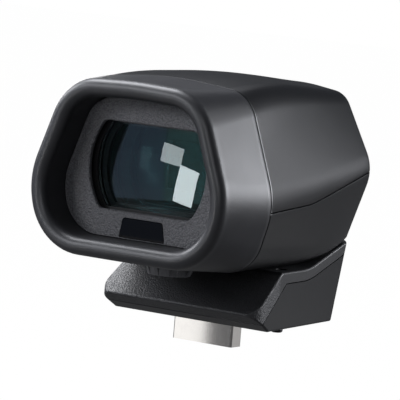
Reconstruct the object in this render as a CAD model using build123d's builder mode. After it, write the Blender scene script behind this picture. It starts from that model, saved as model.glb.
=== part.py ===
from build123d import *
import os
from math import atan2, cos, pi, radians, sin, sqrt, tan

os.makedirs("parts", exist_ok=True)

# An electronic viewfinder: a tilting head with a soft eyecup, standing on a wedge-shaped
# base that plugs into the top of a camera. Lengths are in millimetres. +X is to the user's
# right, +Y runs away from the eye and +Z is up. The origin is the middle of the flat
# underside of the base.

# Stations along the line of sight, measured back from the front of the eyecup
eye_to_origin = 60.0
face_plate_set_back = 10.6
eyecup_depth = 20.0

# Heights in the head are a rise above the optical axis or a drop below it
axis_above_underside = 26.7

# Rim of the eyecup: the six-sided line along the crest of its rolled lip
rim_crown_rise = 22.9
rim_top_half_width = 21.85
rim_top_rise = 21.9
rim_waist_half_width = 32.0
rim_waist_drop = 5.6
rim_bottom_half_width = 27.3
rim_bottom_drop = 23.3
rim_crown_radius = 150.0
rim_top_radius = 13.0
rim_waist_radius = 20.0
rim_bottom_radius = 15.0
lip_radius = 2.7
lip_rounding_share = 0.97

# Outside of the head where the eyecup meets the covers
seam_crown_rise = 26.8
seam_top_half_width = 26.65
seam_top_rise = 24.5
seam_waist_half_width = 38.0
seam_waist_drop = 6.0
seam_bottom_half_width = 32.1
seam_crown_radius = 120.0
seam_top_radius = 10.9
seam_waist_radius = 20.8
seam_bottom_radius = 12.2

# Outside of the head over its highest point
high_set_back = 38.0
high_crown_rise = 28.3
high_top_half_width = 24.4
high_top_rise = 25.8
high_waist_half_width = 35.3
high_waist_drop = 4.4
high_bottom_half_width = 29.8
high_crown_radius = 100.0
high_top_radius = 10.0
high_waist_radius = 18.0
high_bottom_radius = 11.0

# Outside of the head two thirds of the way back
slim_inset = 25.8
slim_crown_rise = 27.2
slim_top_half_width = 21.0
slim_top_rise = 24.8
slim_waist_half_width = 32.0
slim_waist_drop = 1.6
slim_bottom_half_width = 26.4
slim_crown_radius = 80.0
slim_top_radius = 8.5
slim_waist_radius = 15.0
slim_bottom_radius = 9.5

# Outside of the head at its rear face
rear_crown_rise = 25.1
rear_top_half_width = 16.9
rear_top_rise = 22.7
rear_waist_half_width = 28.8
rear_waist_rise = 1.6
rear_bottom_half_width = 19.4
rear_bottom_drop = 25.1
rear_crown_radius = 60.0
rear_top_radius = 7.0
rear_waist_radius = 12.0
rear_bottom_radius = 8.0
rear_edge_radius = 2.4

# Shells
cover_wall = 1.6
rubber_wall = 1.8
cover_gap = 0.25
cover_seam_front_drop = 8.0
cover_seam_bend_set_back = 47.5
cover_seam_bend_drop = 7.0
cover_seam_rear_rise = 1.0
cover_seam_bend_radius = 20.0
overrun = 5.0

# Base: the side view of the wedge, and its width
lip_set_back = 30.0
lip_height = 5.1
slope_run = 15.0
base_top_height = 16.85
ramp_inset = 25.3
ramp_radius = 30.0
ramp_rise = 7.25
base_rear_inset = 0.5
base_heel_run = 6.8
base_toe_run = 8.7
base_front_half_width = 28.15
base_side_taper = 5.75
base_corner_radius = 5.0
base_rear_corner_radius = 3.0
base_edge_radius = 0.6
base_wall = 1.5
head_gap = 1.05

# Joint between the two covers of the base
base_seam_toe_run = 4.7
base_seam_bend_run = 2.8
base_band_height = 3.25
base_seam_bend_radius = 0.8
base_seam_gap = 0.3

# Tilting hinge at the back of the base
hinge_corner_radius = 4.2
knuckle_radius = 4.0
knuckle_half_length = 13.6
hinge_washer_radius = 3.6
hinge_washer_thickness = 0.6
washer_gap = 0.05
ear_thickness = 3.0
ear_half_width = 2.2
ear_foot_inset = 10.6
ear_foot_length = 8.0
hinge_pin_radius = 1.5
running_fit = 0.05
pin_head_radius = 2.4
pin_head_thickness = 1.0
hinge_slot_clearance = 0.5
hinge_notch_clearance = 2.0
bracket_half_width = 11.0
bracket_thickness = 2.4
bracket_inset = 18.6
bracket_screw_half_spacing = 7.0
bracket_screw_inset = 14.6
bracket_screw_reach = 5.2
screw_shank_radius = 1.0
screw_head_radius = 1.9
screw_head_height = 1.1
screw_fit = 0.06
boss_radius = 2.6

# Face plate, window and eye sensor
plate_thickness = 1.2
plate_gap = 0.2
window_radius = 20.2
window_flat_half_height = 12.7
window_corner_radius = 2.6
window_bevel = 0.3
sensor_top_half_width = 6.9
sensor_bottom_half_width = 7.9
sensor_window_gap = 1.7
sensor_height = 5.7
sensor_top_corner_radius = 0.9
sensor_bottom_corner_radius = 0.3
sensor_gap = 0.08
sensor_proud = 0.1
sensor_module_half_width = 5.0
sensor_module_rise = 0.4
sensor_module_height = 3.2
sensor_module_depth = 4.0

# Frame that carries the eyecup and joins it to the covers
frame_front_thickness = 2.0
frame_ring_wall = 1.6
frame_flange_start = 18.2
frame_flange_gap = 0.66
frame_tongue = 2.4
frame_gap = 0.15

# Lens barrel and the tube it slides in
barrel_set_back = 14.0
barrel_radius = 21.6
barrel_flat_half_height = 14.1
barrel_length = 26.0
barrel_wall = 1.2
barrel_stop_radius = 17.0
barrel_stop_flat_half_height = 11.0
barrel_clearance = 0.3
barrel_travel = 1.9
rail_clearance = 0.08
rail_width = 1.6
rail_half_spacing = 8.0
tube_wall = 1.5
tube_end_clearance = 2.1
tube_aperture_half_width = 8.0
tube_aperture_half_height = 6.5

# Lenses: cut from round elements, with flats above and below
lens_gap = 0.05
eye_lens_recess = 0.1
eye_lens_front_radius = 160.0
eye_lens_back_radius = 110.0
eye_lens_thickness = 5.5
retainer_thickness = 0.5
retainer_width = 0.6
spacer_width = 1.7
front_spacer_gap = 0.25
front_spacer_length = 2.4
second_lens_recess = 1.3
second_lens_front_radius = 160.0
second_lens_back_radius = 80.0
second_lens_thickness = 2.0
rear_spacer_length = 1.4
third_lens_recess = 0.2
third_lens_front_radius = 160.0
third_lens_back_radius = 90.0
third_lens_thickness = 6.5

# Dioptre dial, its shaft and the rack that it drives
dial_set_back = 26.0
dial_height = 3.7
dial_core_radius = 7.1
dial_rib_radius = 7.9
dial_rib_width = 1.5
dial_ribs = 12
dial_taper = 14.0
dial_bore_depth = 1.85
dial_washer_radius = 6.0
dial_washer_thickness = 0.3
dial_washer_gap = 0.05
dial_shaft_radius = 1.5
dial_boss_radius = 3.2
dial_boss_height = 2.6
clip_radius = 2.5
clip_slot_width = 1.5
clip_thickness = 0.5
clip_gap = 0.1
gear_module = 0.4
pinion_teeth = 14
flank_steps = 4
pressure_angle = 20.0
pinion_addendum_share = 1.0
rack_addendum_share = 0.8
gear_root_share = 1.2
gear_backlash = 0.06
gear_height = 2.4
gear_gap_below_tube = 0.7
rack_length = 9.5
rack_thickness = 1.8
rack_web_thickness = 1.5
rack_slot_clearance = 0.6

# Display, boards and what carries them
holder_half_width = 14.0
holder_half_height = 11.0
holder_wall = 2.5
holder_length = 10.0
field_lens_gap = 1.0
field_lens_thickness = 3.5
field_lens_bulge = 1.1
field_lens_taper = 45.0
display_gap = 3.0
display_thickness = 1.6
board_thickness = 1.2
spreader_thickness = 2.0
spreader_foot_half_width = 8.0
spreader_overlap = 0.8
hinge_room = 33.0
spreader_foot_thickness = 1.2
flex_thickness = 0.3
flex_width = 4.0
main_board_start = 40.0
main_board_bracket_gap = 1.0
main_board_half_width = 18.0
main_board_rise = 4.7
board_boss_inset = 4.0
chip_height = 1.2
large_chip = 9.0
small_chip = 5.0
chip_pitch = 11.0
chip_row_inset = 8.0

# Metal chassis inside the base
chassis_thickness = 2.0
chassis_gap = 0.15

# Connector
connector_half_width = 10.43
connector_set_back = 45.54
connector_depth = 5.22
connector_reach = 7.45
connector_height = 5.0
connector_wall = 0.5
connector_corner_radius = 0.6
connector_recess = 1.4
connector_clearance = 0.2
contact_count = 11
contact_pitch = 1.6
contact_width = 0.7
contact_thickness = 0.25
contact_length = 1.0
connector_board_half_width = 12.0
connector_board_length = 14.0
connector_board_thickness = 1.2
base_flex_width = 8.0
base_flex_overlap = 4.0
base_flex_rise = 8.0
base_flex_inset = 4.6
base_flex_mid_inset = 15.6
base_flex_mid_rise = 1.5

# Captive mounting screws
mounting_screw_half_spacing = 21.8
mounting_screw_set_back = 51.6
mounting_screw_radius = 1.8
mounting_screw_stub = 1.6
mounting_screw_tip_radius = 0.7
thread_end_drop = 0.3
mounting_screw_shank_radius = 1.65
mounting_screw_head_radius = 2.3
mounting_screw_head_height = 2.4
mounting_screw_head_clearance = 0.95
hex_socket_radius = 1.2
hex_socket_depth = 1.5
bushing_radius = 2.45
bushing_height = 4.5
bushing_hole_clearance = 0.3
driver_hole_radius = 1.7
spring_gap = 0.05
spring_wire = 0.4

# Screws that close the base, and the pads that the head rests on
base_screw_front_half_spacing = 17.0
base_screw_front_inset = 21.6
base_screw_rear_half_spacing = 15.0
base_screw_rear_inset = 9.1
base_screw_length = 5.0
base_boss_radius = 2.4
base_boss_height = 2.6
rest_pad_half_width = 2.5
rest_pad_length = 6.0
rest_pad_thickness = 0.7
rest_pad_half_spacing = 14.0
rest_pad_set_back = 52.0

# Heights and set backs that follow from these: the head stands on the base, and it is as deep
# as its optics and the hinge behind them need
head_underside_height = base_top_height + head_gap
optical_axis_height = head_underside_height + axis_above_underside
sensor_top_height = optical_axis_height - window_flat_half_height - sensor_window_gap
sensor_bottom_height = sensor_top_height - sensor_height
sensor_module_bottom_height = sensor_bottom_height + sensor_module_rise
main_board_height = head_underside_height + main_board_rise
base_rear_height = base_top_height + ramp_rise
mounting_screw_head_top = base_top_height - base_wall - mounting_screw_head_clearance
mounting_screw_head_seat = mounting_screw_head_top - mounting_screw_head_height
tube_rear = barrel_set_back + barrel_length + tube_end_clearance
holder_set_back = tube_rear + tube_wall
display_set_back = holder_set_back + field_lens_gap + field_lens_thickness + display_gap
board_set_back = holder_set_back + holder_length
spreader_set_back = board_set_back + board_thickness
head_depth = spreader_set_back + hinge_room
slim_set_back = head_depth - slim_inset
hinge_set_back = head_depth - hinge_corner_radius
bracket_set_back = hinge_set_back - bracket_inset
bracket_screw_set_back = hinge_set_back - bracket_screw_inset
ear_foot_set_back = hinge_set_back - ear_foot_inset
main_board_length = bracket_set_back - main_board_bracket_gap - main_board_start
spreader_foot_end = bracket_set_back + spreader_overlap
slope_top_set_back = lip_set_back + slope_run
ramp_set_back = head_depth - ramp_inset
base_depth = head_depth - base_rear_inset
base_foot_set_back = base_depth - base_heel_run
base_toe_set_back = lip_set_back + base_toe_run
base_rear_half_width = base_front_half_width - base_side_taper
base_seam_toe_set_back = lip_set_back + base_seam_toe_run
base_seam_bend_set_back = slope_top_set_back + base_seam_bend_run
base_screw_front_set_back = hinge_set_back - base_screw_front_inset
base_screw_rear_set_back = hinge_set_back - base_screw_rear_inset


# Helpers

def back(set_back):
    """The Y of a station that lies set_back behind the front of the eyecup."""
    return set_back - eye_to_origin


def across(set_back):
    """A plane square to the line of sight: X to the right, Z up, facing the eye."""
    return Plane(origin=(0, back(set_back), 0), x_dir=(1, 0, 0), z_dir=(0, -1, 0))


def grow(outline, amount):
    """Moves each side of an outline outwards by amount and changes its corner radii alike."""
    points, radii = outline
    count = len(points)
    moved = []
    changed = []
    for index in range(count):
        before = Vector(*points[index - 1])
        here = Vector(*points[index])
        after = Vector(*points[(index + 1) % count])
        arriving = (here - before).normalized()
        leaving = (after - here).normalized()
        side_in = Vector(-arriving.Y, arriving.X)
        side_out = Vector(-leaving.Y, leaving.X)
        step = (side_in + side_out) / (1 + side_in.dot(side_out))
        corner = here + step * amount
        turn = arriving.X * leaving.Y - arriving.Y * leaving.X
        change = amount if turn < 0 else -amount
        moved.append((corner.X, corner.Y))
        changed.append(max(radii[index] + change, 0))
    return moved, changed


def draw(outline):
    """Draws an outline with rounded corners as a face of the sketch that is open."""
    points, radii = outline
    Polygon(*points, align=None)
    for point, radius in zip(points, radii):
        if radius > 0:
            corner = vertices().sort_by_distance(Vector(*point))[0]
            fillet(corner, radius=radius)


def six_sided(crown_rise, top, waist, bottom, radii):
    """A section of the head, clockwise from the middle of its crown. Each corner is its half
    width and its rise above the optical axis."""
    right = [(half_width, optical_axis_height + rise) for half_width, rise in (top, waist, bottom)]
    left = [(-x, z) for x, z in reversed(right)]
    crown_radius, top_radius, waist_radius, bottom_radius = radii
    corners = [top_radius, waist_radius, bottom_radius]
    crown = (0, optical_axis_height + crown_rise)
    return [crown] + right + left, [crown_radius] + corners + corners[::-1]


def flatted(radius, flat_half_height, centre_height=optical_axis_height):
    """Draws a circle on the optical axis with its top and bottom cut flat."""
    with Locations((0, centre_height)):
        Circle(radius)
        Rectangle(2 * radius, 2 * flat_half_height, mode=Mode.INTERSECT)


def bulge(radius, distance):
    """How far a lens surface falls away from its middle at a distance from the axis."""
    return radius - sqrt(radius * radius - distance * distance)


def finish(piece, name):
    """Names a finished piece and writes its file."""
    piece.part.label = name
    export_step(piece.part, f"parts/{name}.step")


# Sections of the head from front to back

rim_section = six_sided(
    rim_crown_rise,
    (rim_top_half_width, rim_top_rise),
    (rim_waist_half_width, -rim_waist_drop),
    (rim_bottom_half_width, -rim_bottom_drop),
    (rim_crown_radius, rim_top_radius, rim_waist_radius, rim_bottom_radius),
)
rim_outside = grow(rim_section, lip_radius)
mouth = grow(rim_section, -lip_radius)

seam_section = six_sided(
    seam_crown_rise,
    (seam_top_half_width, seam_top_rise),
    (seam_waist_half_width, -seam_waist_drop),
    (seam_bottom_half_width, -axis_above_underside),
    (seam_crown_radius, seam_top_radius, seam_waist_radius, seam_bottom_radius),
)
high_section = six_sided(
    high_crown_rise,
    (high_top_half_width, high_top_rise),
    (high_waist_half_width, -high_waist_drop),
    (high_bottom_half_width, -axis_above_underside),
    (high_crown_radius, high_top_radius, high_waist_radius, high_bottom_radius),
)
slim_section = six_sided(
    slim_crown_rise,
    (slim_top_half_width, slim_top_rise),
    (slim_waist_half_width, -slim_waist_drop),
    (slim_bottom_half_width, -axis_above_underside),
    (slim_crown_radius, slim_top_radius, slim_waist_radius, slim_bottom_radius),
)
rear_section = six_sided(
    rear_crown_rise,
    (rear_top_half_width, rear_top_rise),
    (rear_waist_half_width, rear_waist_rise),
    (rear_bottom_half_width, -rear_bottom_drop),
    (rear_crown_radius, rear_top_radius, rear_waist_radius, rear_bottom_radius),
)
head_stations = [
    (eyecup_depth, seam_section),
    (high_set_back, high_section),
    (slim_set_back, slim_section),
    (head_depth, rear_section),
]

# Side views of the head and the base. The hinge axis is the middle of the round corner at
# the lower back of the head, so that the corner turns inside its own outline.

ramp_angle = atan2(base_rear_height - base_top_height, base_depth - ramp_set_back)
ramp_under_hinge = (hinge_set_back - ramp_set_back) * tan(ramp_angle)
hinge_height = base_top_height + head_gap + ramp_under_hinge + hinge_corner_radius / cos(ramp_angle)
head_top_height = optical_axis_height + high_crown_rise + overrun
head_corner_height = base_top_height + head_gap + (head_depth - ramp_set_back) * tan(ramp_angle)

head_side = (
    [
        (back(eyecup_depth - overrun), head_top_height),
        (back(head_depth), head_top_height),
        (back(head_depth), head_corner_height),
        (back(ramp_set_back), base_top_height + head_gap),
        (back(slope_top_set_back), base_top_height + head_gap - overrun),
        (back(eyecup_depth - overrun), base_top_height + head_gap - overrun),
    ],
    [0, 0, hinge_corner_radius, 0, 0, 0],
)

base_side = (
    [
        (back(lip_set_back), lip_height),
        (back(slope_top_set_back), base_top_height),
        (back(ramp_set_back), base_top_height),
        (back(base_depth), base_rear_height),
        (back(base_foot_set_back), 0),
        (back(base_toe_set_back), 0),
    ],
    [0, 0, ramp_radius, 0, 0, 0],
)
base_lean = (base_depth - base_foot_set_back) / base_rear_height
base_taper = (base_front_half_width - base_rear_half_width) / (base_depth - lip_set_back)
base_plan_rear = base_depth + overrun


def base_plan(height):
    """The outline of the base in a level plane: narrower behind, where its back leans out."""
    rear = base_foot_set_back + height * base_lean
    rear_half_width = base_front_half_width - base_taper * (rear - lip_set_back)
    points = [
        (-base_front_half_width, back(lip_set_back)),
        (-rear_half_width, back(rear)),
        (rear_half_width, back(rear)),
        (base_front_half_width, back(lip_set_back)),
    ]
    return points, [base_corner_radius, base_rear_corner_radius, base_rear_corner_radius, base_corner_radius]


# Line between the two covers of the base
toe_slope = lip_height / (base_toe_set_back - lip_set_back)
base_seam_toe_height = (base_toe_set_back - base_seam_toe_set_back) * toe_slope
base_seam_height = base_top_height - base_band_height
seam_run = base_seam_bend_set_back - base_seam_toe_set_back
seam_steepness = (base_seam_height - base_seam_toe_height) / seam_run


def base_seam_region(drop):
    """The region above the line between the covers of the base, lowered by drop."""
    top = head_top_height
    front_run = base_seam_toe_set_back - lip_set_back + overrun
    start_height = base_seam_toe_height - front_run * seam_steepness
    rear_height = base_seam_height + (base_plan_rear - ramp_set_back) * tan(ramp_angle)
    points = [
        (back(lip_set_back - overrun), start_height - drop),
        (back(lip_set_back - overrun), top),
        (back(base_plan_rear), top),
        (back(base_plan_rear), rear_height - drop),
        (back(ramp_set_back), base_seam_height - drop),
        (back(base_seam_bend_set_back), base_seam_height - drop),
    ]
    return points, [0, 0, 0, 0, ramp_radius, base_seam_bend_radius]


def base_block(wall, edge_radius=0):
    """The outside of the base moved inwards by wall, with its long edges rounded."""
    with BuildPart() as side_view:
        with BuildSketch(Plane.YZ):
            draw(grow(base_side, -wall))
        extrude(amount=base_front_half_width + overrun, both=True)
    with BuildPart() as plan_view:
        for height in (-overrun, head_top_height):
            with BuildSketch(Plane.XY.offset(height)):
                draw(grow(base_plan(height), -wall))
        loft(ruled=True)
    with BuildPart() as block:
        add(side_view.part)
        add(plan_view.part, mode=Mode.INTERSECT)
        if edge_radius > 0:
            outline_edges = new_edges(side_view.part, plan_view.part, combined=block.part)
            level_edges = block.edges().filter_by(Axis.X)
            corners = [Vector(0, *point) for point, radius in zip(*base_side) if radius == 0]
            corner_edges = [level_edges.sort_by_distance(corner)[0] for corner in corners]
            fillet(corner_edges + outline_edges, radius=edge_radius)
    return block.part


def head_block(wall, edge_radius=0):
    """The outside of the covers of the head moved inwards by wall, with its rear edges rounded."""
    with BuildPart() as block:
        for set_back, section in head_stations:
            with BuildSketch(across(set_back)):
                draw(grow(section, -wall))
        loft()
        with BuildSketch(Plane.YZ):
            draw(grow(head_side, -wall))
        extrude(amount=seam_waist_half_width + overrun, both=True, mode=Mode.INTERSECT)
        if edge_radius > 0:
            rear_face = block.faces().sort_by(Axis.Y)[-1]
            fillet(rear_face.edges().filter_by(Axis.X, reverse=True), radius=edge_radius)
    return block.part


def cover_seam_region(drop):
    """The region above the line between the covers of the head, lowered by drop."""
    front_height = optical_axis_height - cover_seam_front_drop
    bend_height = optical_axis_height - cover_seam_bend_drop
    rear_height = optical_axis_height + cover_seam_rear_rise
    climb = (rear_height - bend_height) / (head_depth - cover_seam_bend_set_back)
    start_climb = (bend_height - front_height) / (cover_seam_bend_set_back - eyecup_depth)
    points = [
        (back(eyecup_depth - overrun), front_height - overrun * start_climb - drop),
        (back(eyecup_depth - overrun), head_top_height),
        (back(head_depth + overrun), head_top_height),
        (back(head_depth + overrun), rear_height + overrun * climb - drop),
        (back(cover_seam_bend_set_back), bend_height - drop),
    ]
    return points, [0, 0, 0, 0, cover_seam_bend_radius]


# Eyecup: one soft moulding, from the rolled lip to the covers

pocket_set_back = face_plate_set_back + plate_thickness
frame_outside = grow(rim_outside, -rubber_wall - frame_gap)
flange_outside = grow(seam_section, -cover_wall - frame_flange_gap)

with BuildPart() as eyecup:
    with BuildSketch(across(0)):
        draw(rim_outside)
    extrude(amount=-lip_radius)
    with BuildSketch(across(lip_radius)):
        draw(rim_outside)
    with BuildSketch(across(eyecup_depth)):
        draw(seam_section)
    loft(ruled=True)
    with BuildSketch(across(0)):
        draw(mouth)
    extrude(amount=-eyecup_depth, mode=Mode.SUBTRACT)
    with BuildSketch(across(pocket_set_back)):
        draw(grow(frame_outside, frame_gap))
    extrude(amount=pocket_set_back - eyecup_depth, mode=Mode.SUBTRACT)
    with BuildSketch(across(frame_flange_start - frame_gap)):
        draw(grow(flange_outside, frame_gap))
    extrude(amount=frame_flange_start - frame_gap - eyecup_depth, mode=Mode.SUBTRACT)
    lip_edges = eyecup.edges().filter_by(lambda edge: edge.bounding_box().max.Y < back(lip_radius / 2))
    fillet(lip_edges, radius=lip_radius * lip_rounding_share)
finish(eyecup, "eyecup")

# Frame behind the eyecup

frame_rear = eyecup_depth + frame_tongue
tube_inside_radius = barrel_radius + barrel_clearance
tube_inside_flat = barrel_flat_half_height + barrel_clearance
frame_front_rear = pocket_set_back + frame_front_thickness

with BuildPart() as front_frame:
    with BuildSketch(across(pocket_set_back)):
        draw(frame_outside)
    extrude(amount=pocket_set_back - frame_rear)
    with BuildSketch(across(frame_flange_start)):
        draw(flange_outside)
    extrude(amount=frame_flange_start - frame_rear)
    with BuildSketch(across(frame_front_rear)):
        draw(grow(frame_outside, -frame_ring_wall))
    extrude(amount=frame_front_rear - frame_rear, mode=Mode.SUBTRACT)
    with BuildSketch(across(pocket_set_back)):
        flatted(tube_inside_radius, tube_inside_flat)
        with Locations((0, sensor_module_bottom_height + sensor_module_height / 2)):
            Rectangle(
                2 * (sensor_module_half_width + sensor_gap),
                sensor_module_height + 2 * sensor_gap,
            )
    extrude(amount=-frame_front_thickness, mode=Mode.SUBTRACT)
finish(front_frame, "front_frame")

# Face plate with the window, and the eye sensor below it

sensor_outline = (
    [
        (-sensor_top_half_width, sensor_top_height),
        (sensor_top_half_width, sensor_top_height),
        (sensor_bottom_half_width, sensor_bottom_height),
        (-sensor_bottom_half_width, sensor_bottom_height),
    ],
    [
        sensor_top_corner_radius,
        sensor_top_corner_radius,
        sensor_bottom_corner_radius,
        sensor_bottom_corner_radius,
    ],
)

with BuildPart() as face_plate:
    with BuildSketch(across(face_plate_set_back)):
        draw(grow(mouth, -plate_gap))
    extrude(amount=-plate_thickness)
    with BuildSketch(across(face_plate_set_back)) as window_sketch:
        flatted(window_radius, window_flat_half_height)
        fillet(window_sketch.vertices(), radius=window_corner_radius)
    extrude(amount=-plate_thickness, mode=Mode.SUBTRACT)
    window_edges = (
        face_plate.edges()
        .filter_by(lambda edge: edge.bounding_box().max.Y < back(face_plate_set_back) + window_bevel)
        .filter_by(lambda edge: abs(edge.center().Z - optical_axis_height) < window_flat_half_height + plate_gap)
        .filter_by(lambda edge: abs(edge.center().X) < window_radius + plate_gap)
        .filter_by(lambda edge: edge.bounding_box().max.X < window_radius + plate_gap)
    )
    chamfer(window_edges, length=window_bevel)
    with BuildSketch(across(face_plate_set_back)):
        draw(grow(sensor_outline, sensor_gap))
    extrude(amount=-plate_thickness, mode=Mode.SUBTRACT)
finish(face_plate, "face_plate")

with BuildPart() as eye_sensor_window:
    with BuildSketch(across(face_plate_set_back - sensor_proud)):
        draw(sensor_outline)
    extrude(amount=-plate_thickness - sensor_proud)
    front_edges = eye_sensor_window.faces().sort_by(Axis.Y)[0].edges()
    chamfer(front_edges, length=sensor_proud)
finish(eye_sensor_window, "eye_sensor_window")

with BuildPart() as eye_sensor_board:
    with BuildSketch(across(pocket_set_back)):
        with Locations((0, sensor_module_bottom_height + sensor_module_height / 2)):
            Rectangle(2 * sensor_module_half_width, sensor_module_height)
    extrude(amount=-sensor_module_depth)
finish(eye_sensor_board, "eye_sensor_board")

# Guide tube for the lens barrel

tube_length = tube_rear - frame_front_rear
slot_half_length = barrel_travel + rack_length / 2 + rack_slot_clearance
pitch_radius = gear_module * pinion_teeth / 2
rack_back_offset = pitch_radius + rack_thickness
rack_web_centre = rack_back_offset - rack_web_thickness / 2

with BuildPart() as lens_guide_tube:
    with BuildSketch(across(frame_front_rear)):
        flatted(tube_inside_radius + tube_wall, tube_inside_flat + tube_wall)
    extrude(amount=-tube_length - tube_wall)
    with BuildSketch(across(frame_front_rear)):
        flatted(tube_inside_radius, tube_inside_flat)
    extrude(amount=-tube_length, mode=Mode.SUBTRACT)
    with BuildSketch(across(tube_rear)):
        with Locations((0, optical_axis_height)):
            Rectangle(2 * tube_aperture_half_width, 2 * tube_aperture_half_height)
    extrude(amount=-tube_wall, mode=Mode.SUBTRACT)
    with BuildSketch(Plane.XY.offset(optical_axis_height - tube_inside_flat - tube_wall)):
        with Locations((rack_web_centre, back(dial_set_back))):
            Rectangle(rack_web_thickness + 2 * rack_slot_clearance, 2 * slot_half_length)
    extrude(amount=tube_wall + overrun, mode=Mode.SUBTRACT)
finish(lens_guide_tube, "lens_guide_tube")

# Lens barrel with its two pairs of guide rails

lens_radius = barrel_radius - barrel_wall
lens_flat = barrel_flat_half_height - barrel_wall
eye_lens_set_back = barrel_set_back + eye_lens_recess
eye_lens_rear = eye_lens_set_back + eye_lens_thickness
front_spacer_set_back = eye_lens_rear - bulge(eye_lens_back_radius, lens_flat - spacer_width) + front_spacer_gap
front_spacer_rear = front_spacer_set_back + front_spacer_length
second_lens_set_back = front_spacer_rear + second_lens_recess
second_lens_rear = second_lens_set_back + second_lens_thickness
rear_spacer_set_back = second_lens_rear + bulge(second_lens_back_radius, lens_radius - lens_gap)
third_lens_set_back = rear_spacer_set_back + rear_spacer_length + third_lens_recess
third_lens_rear = third_lens_set_back + third_lens_thickness
barrel_stop_set_back = third_lens_rear - bulge(third_lens_back_radius, barrel_stop_flat_half_height) + lens_gap
stack_length = barrel_stop_set_back - barrel_set_back
rail_height = barrel_clearance - rail_clearance

with BuildPart() as lens_barrel:
    with BuildSketch(across(barrel_set_back)):
        flatted(barrel_radius, barrel_flat_half_height)
    extrude(amount=-barrel_length)
    for side in (1, -1):
        rail_centre = optical_axis_height + side * (barrel_flat_half_height + rail_height / 2)
        with BuildSketch(across(barrel_set_back)):
            with Locations((-rail_half_spacing, rail_centre), (rail_half_spacing, rail_centre)):
                Rectangle(rail_width, rail_height)
        extrude(amount=-barrel_length)
    with BuildSketch(across(barrel_set_back)):
        flatted(lens_radius, lens_flat)
    extrude(amount=-stack_length, mode=Mode.SUBTRACT)
    with BuildSketch(across(barrel_set_back)):
        flatted(barrel_stop_radius, barrel_stop_flat_half_height)
    extrude(amount=-barrel_length, mode=Mode.SUBTRACT)
finish(lens_barrel, "lens_barrel")


# Lenses, the rings between them and the ring that holds them in

def lens(name, front_set_back, thickness, front_radius, back_radius, front_sign, back_sign):
    """A lens whose faces bulge outwards where the sign is 1 and inwards where it is -1."""
    edge = lens_radius - lens_gap
    middle = edge / 2
    front = back(front_set_back)
    rear = front + thickness
    with BuildPart() as piece:
        with BuildSketch(Plane.YZ):
            with BuildLine():
                axis_front = (front, optical_axis_height)
                axis_rear = (rear, optical_axis_height)
                front_middle = front + front_sign * bulge(front_radius, middle)
                front_edge = front + front_sign * bulge(front_radius, edge)
                rear_middle = rear - back_sign * bulge(back_radius, middle)
                rear_edge = rear - back_sign * bulge(back_radius, edge)
                ThreePointArc(
                    axis_front,
                    (front_middle, optical_axis_height + middle),
                    (front_edge, optical_axis_height + edge),
                )
                Line((front_edge, optical_axis_height + edge), (rear_edge, optical_axis_height + edge))
                ThreePointArc(
                    (rear_edge, optical_axis_height + edge),
                    (rear_middle, optical_axis_height + middle),
                    axis_rear,
                )
                Line(axis_rear, axis_front)
            make_face()
        revolve(axis=Axis((0, 0, optical_axis_height), (0, 1, 0)))
        with BuildSketch(across(front_set_back - overrun)):
            with Locations((0, optical_axis_height)):
                Rectangle(2 * barrel_radius, 2 * (lens_flat - lens_gap))
        extrude(amount=-thickness - 2 * overrun, mode=Mode.INTERSECT)
    finish(piece, name)


def ring(name, set_back, length, width):
    """A flatted ring that fits the bore of the barrel."""
    with BuildPart() as piece:
        with BuildSketch(across(set_back)):
            flatted(lens_radius - lens_gap, lens_flat - lens_gap)
        extrude(amount=-length)
        with BuildSketch(across(set_back)):
            flatted(lens_radius - lens_gap - width, lens_flat - lens_gap - width)
        extrude(amount=-length, mode=Mode.SUBTRACT)
    finish(piece, name)


lens(
    "eye_lens", eye_lens_set_back, eye_lens_thickness,
    eye_lens_front_radius, eye_lens_back_radius, 1, 1,
)
lens(
    "second_lens", second_lens_set_back, second_lens_thickness,
    second_lens_front_radius, second_lens_back_radius, -1, -1,
)
lens(
    "third_lens", third_lens_set_back, third_lens_thickness,
    third_lens_front_radius, third_lens_back_radius, 1, 1,
)
ring("lens_retainer", barrel_set_back, retainer_thickness, retainer_width)
ring("lens_spacer_front", front_spacer_set_back, front_spacer_length, spacer_width)
ring("lens_spacer_rear", rear_spacer_set_back, rear_spacer_length, spacer_width)

# Rack under the barrel and the pinion that drives it

tooth_pitch = pi * gear_module
gear_top_height = optical_axis_height - tube_inside_flat - tube_wall - gear_gap_below_tube
gear_bottom_height = gear_top_height - gear_height
barrel_bottom_height = optical_axis_height - barrel_flat_half_height
rack_tip_offset = pitch_radius - gear_module * rack_addendum_share
rack_root_offset = pitch_radius + gear_module * gear_root_share
flank_slope = tan(radians(pressure_angle))


def rack_outline():
    """The rack seen from above: its teeth point to -X, and one space is level with the dial."""
    half_tooth = tooth_pitch / 4 - gear_backlash / 2
    tip_half = half_tooth - (pitch_radius - rack_tip_offset) * flank_slope
    root_half = half_tooth + (rack_root_offset - pitch_radius) * flank_slope
    tooth_count = int(rack_length / tooth_pitch)
    first = back(dial_set_back) - (tooth_count - 1) * tooth_pitch / 2
    points = [(rack_back_offset, back(dial_set_back) - rack_length / 2)]
    points.append((rack_root_offset, back(dial_set_back) - rack_length / 2))
    for index in range(tooth_count):
        centre = first + index * tooth_pitch
        points.append((rack_root_offset, centre - root_half))
        points.append((rack_tip_offset, centre - tip_half))
        points.append((rack_tip_offset, centre + tip_half))
        points.append((rack_root_offset, centre + root_half))
    points.append((rack_root_offset, back(dial_set_back) + rack_length / 2))
    points.append((rack_back_offset, back(dial_set_back) + rack_length / 2))
    return points


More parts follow.
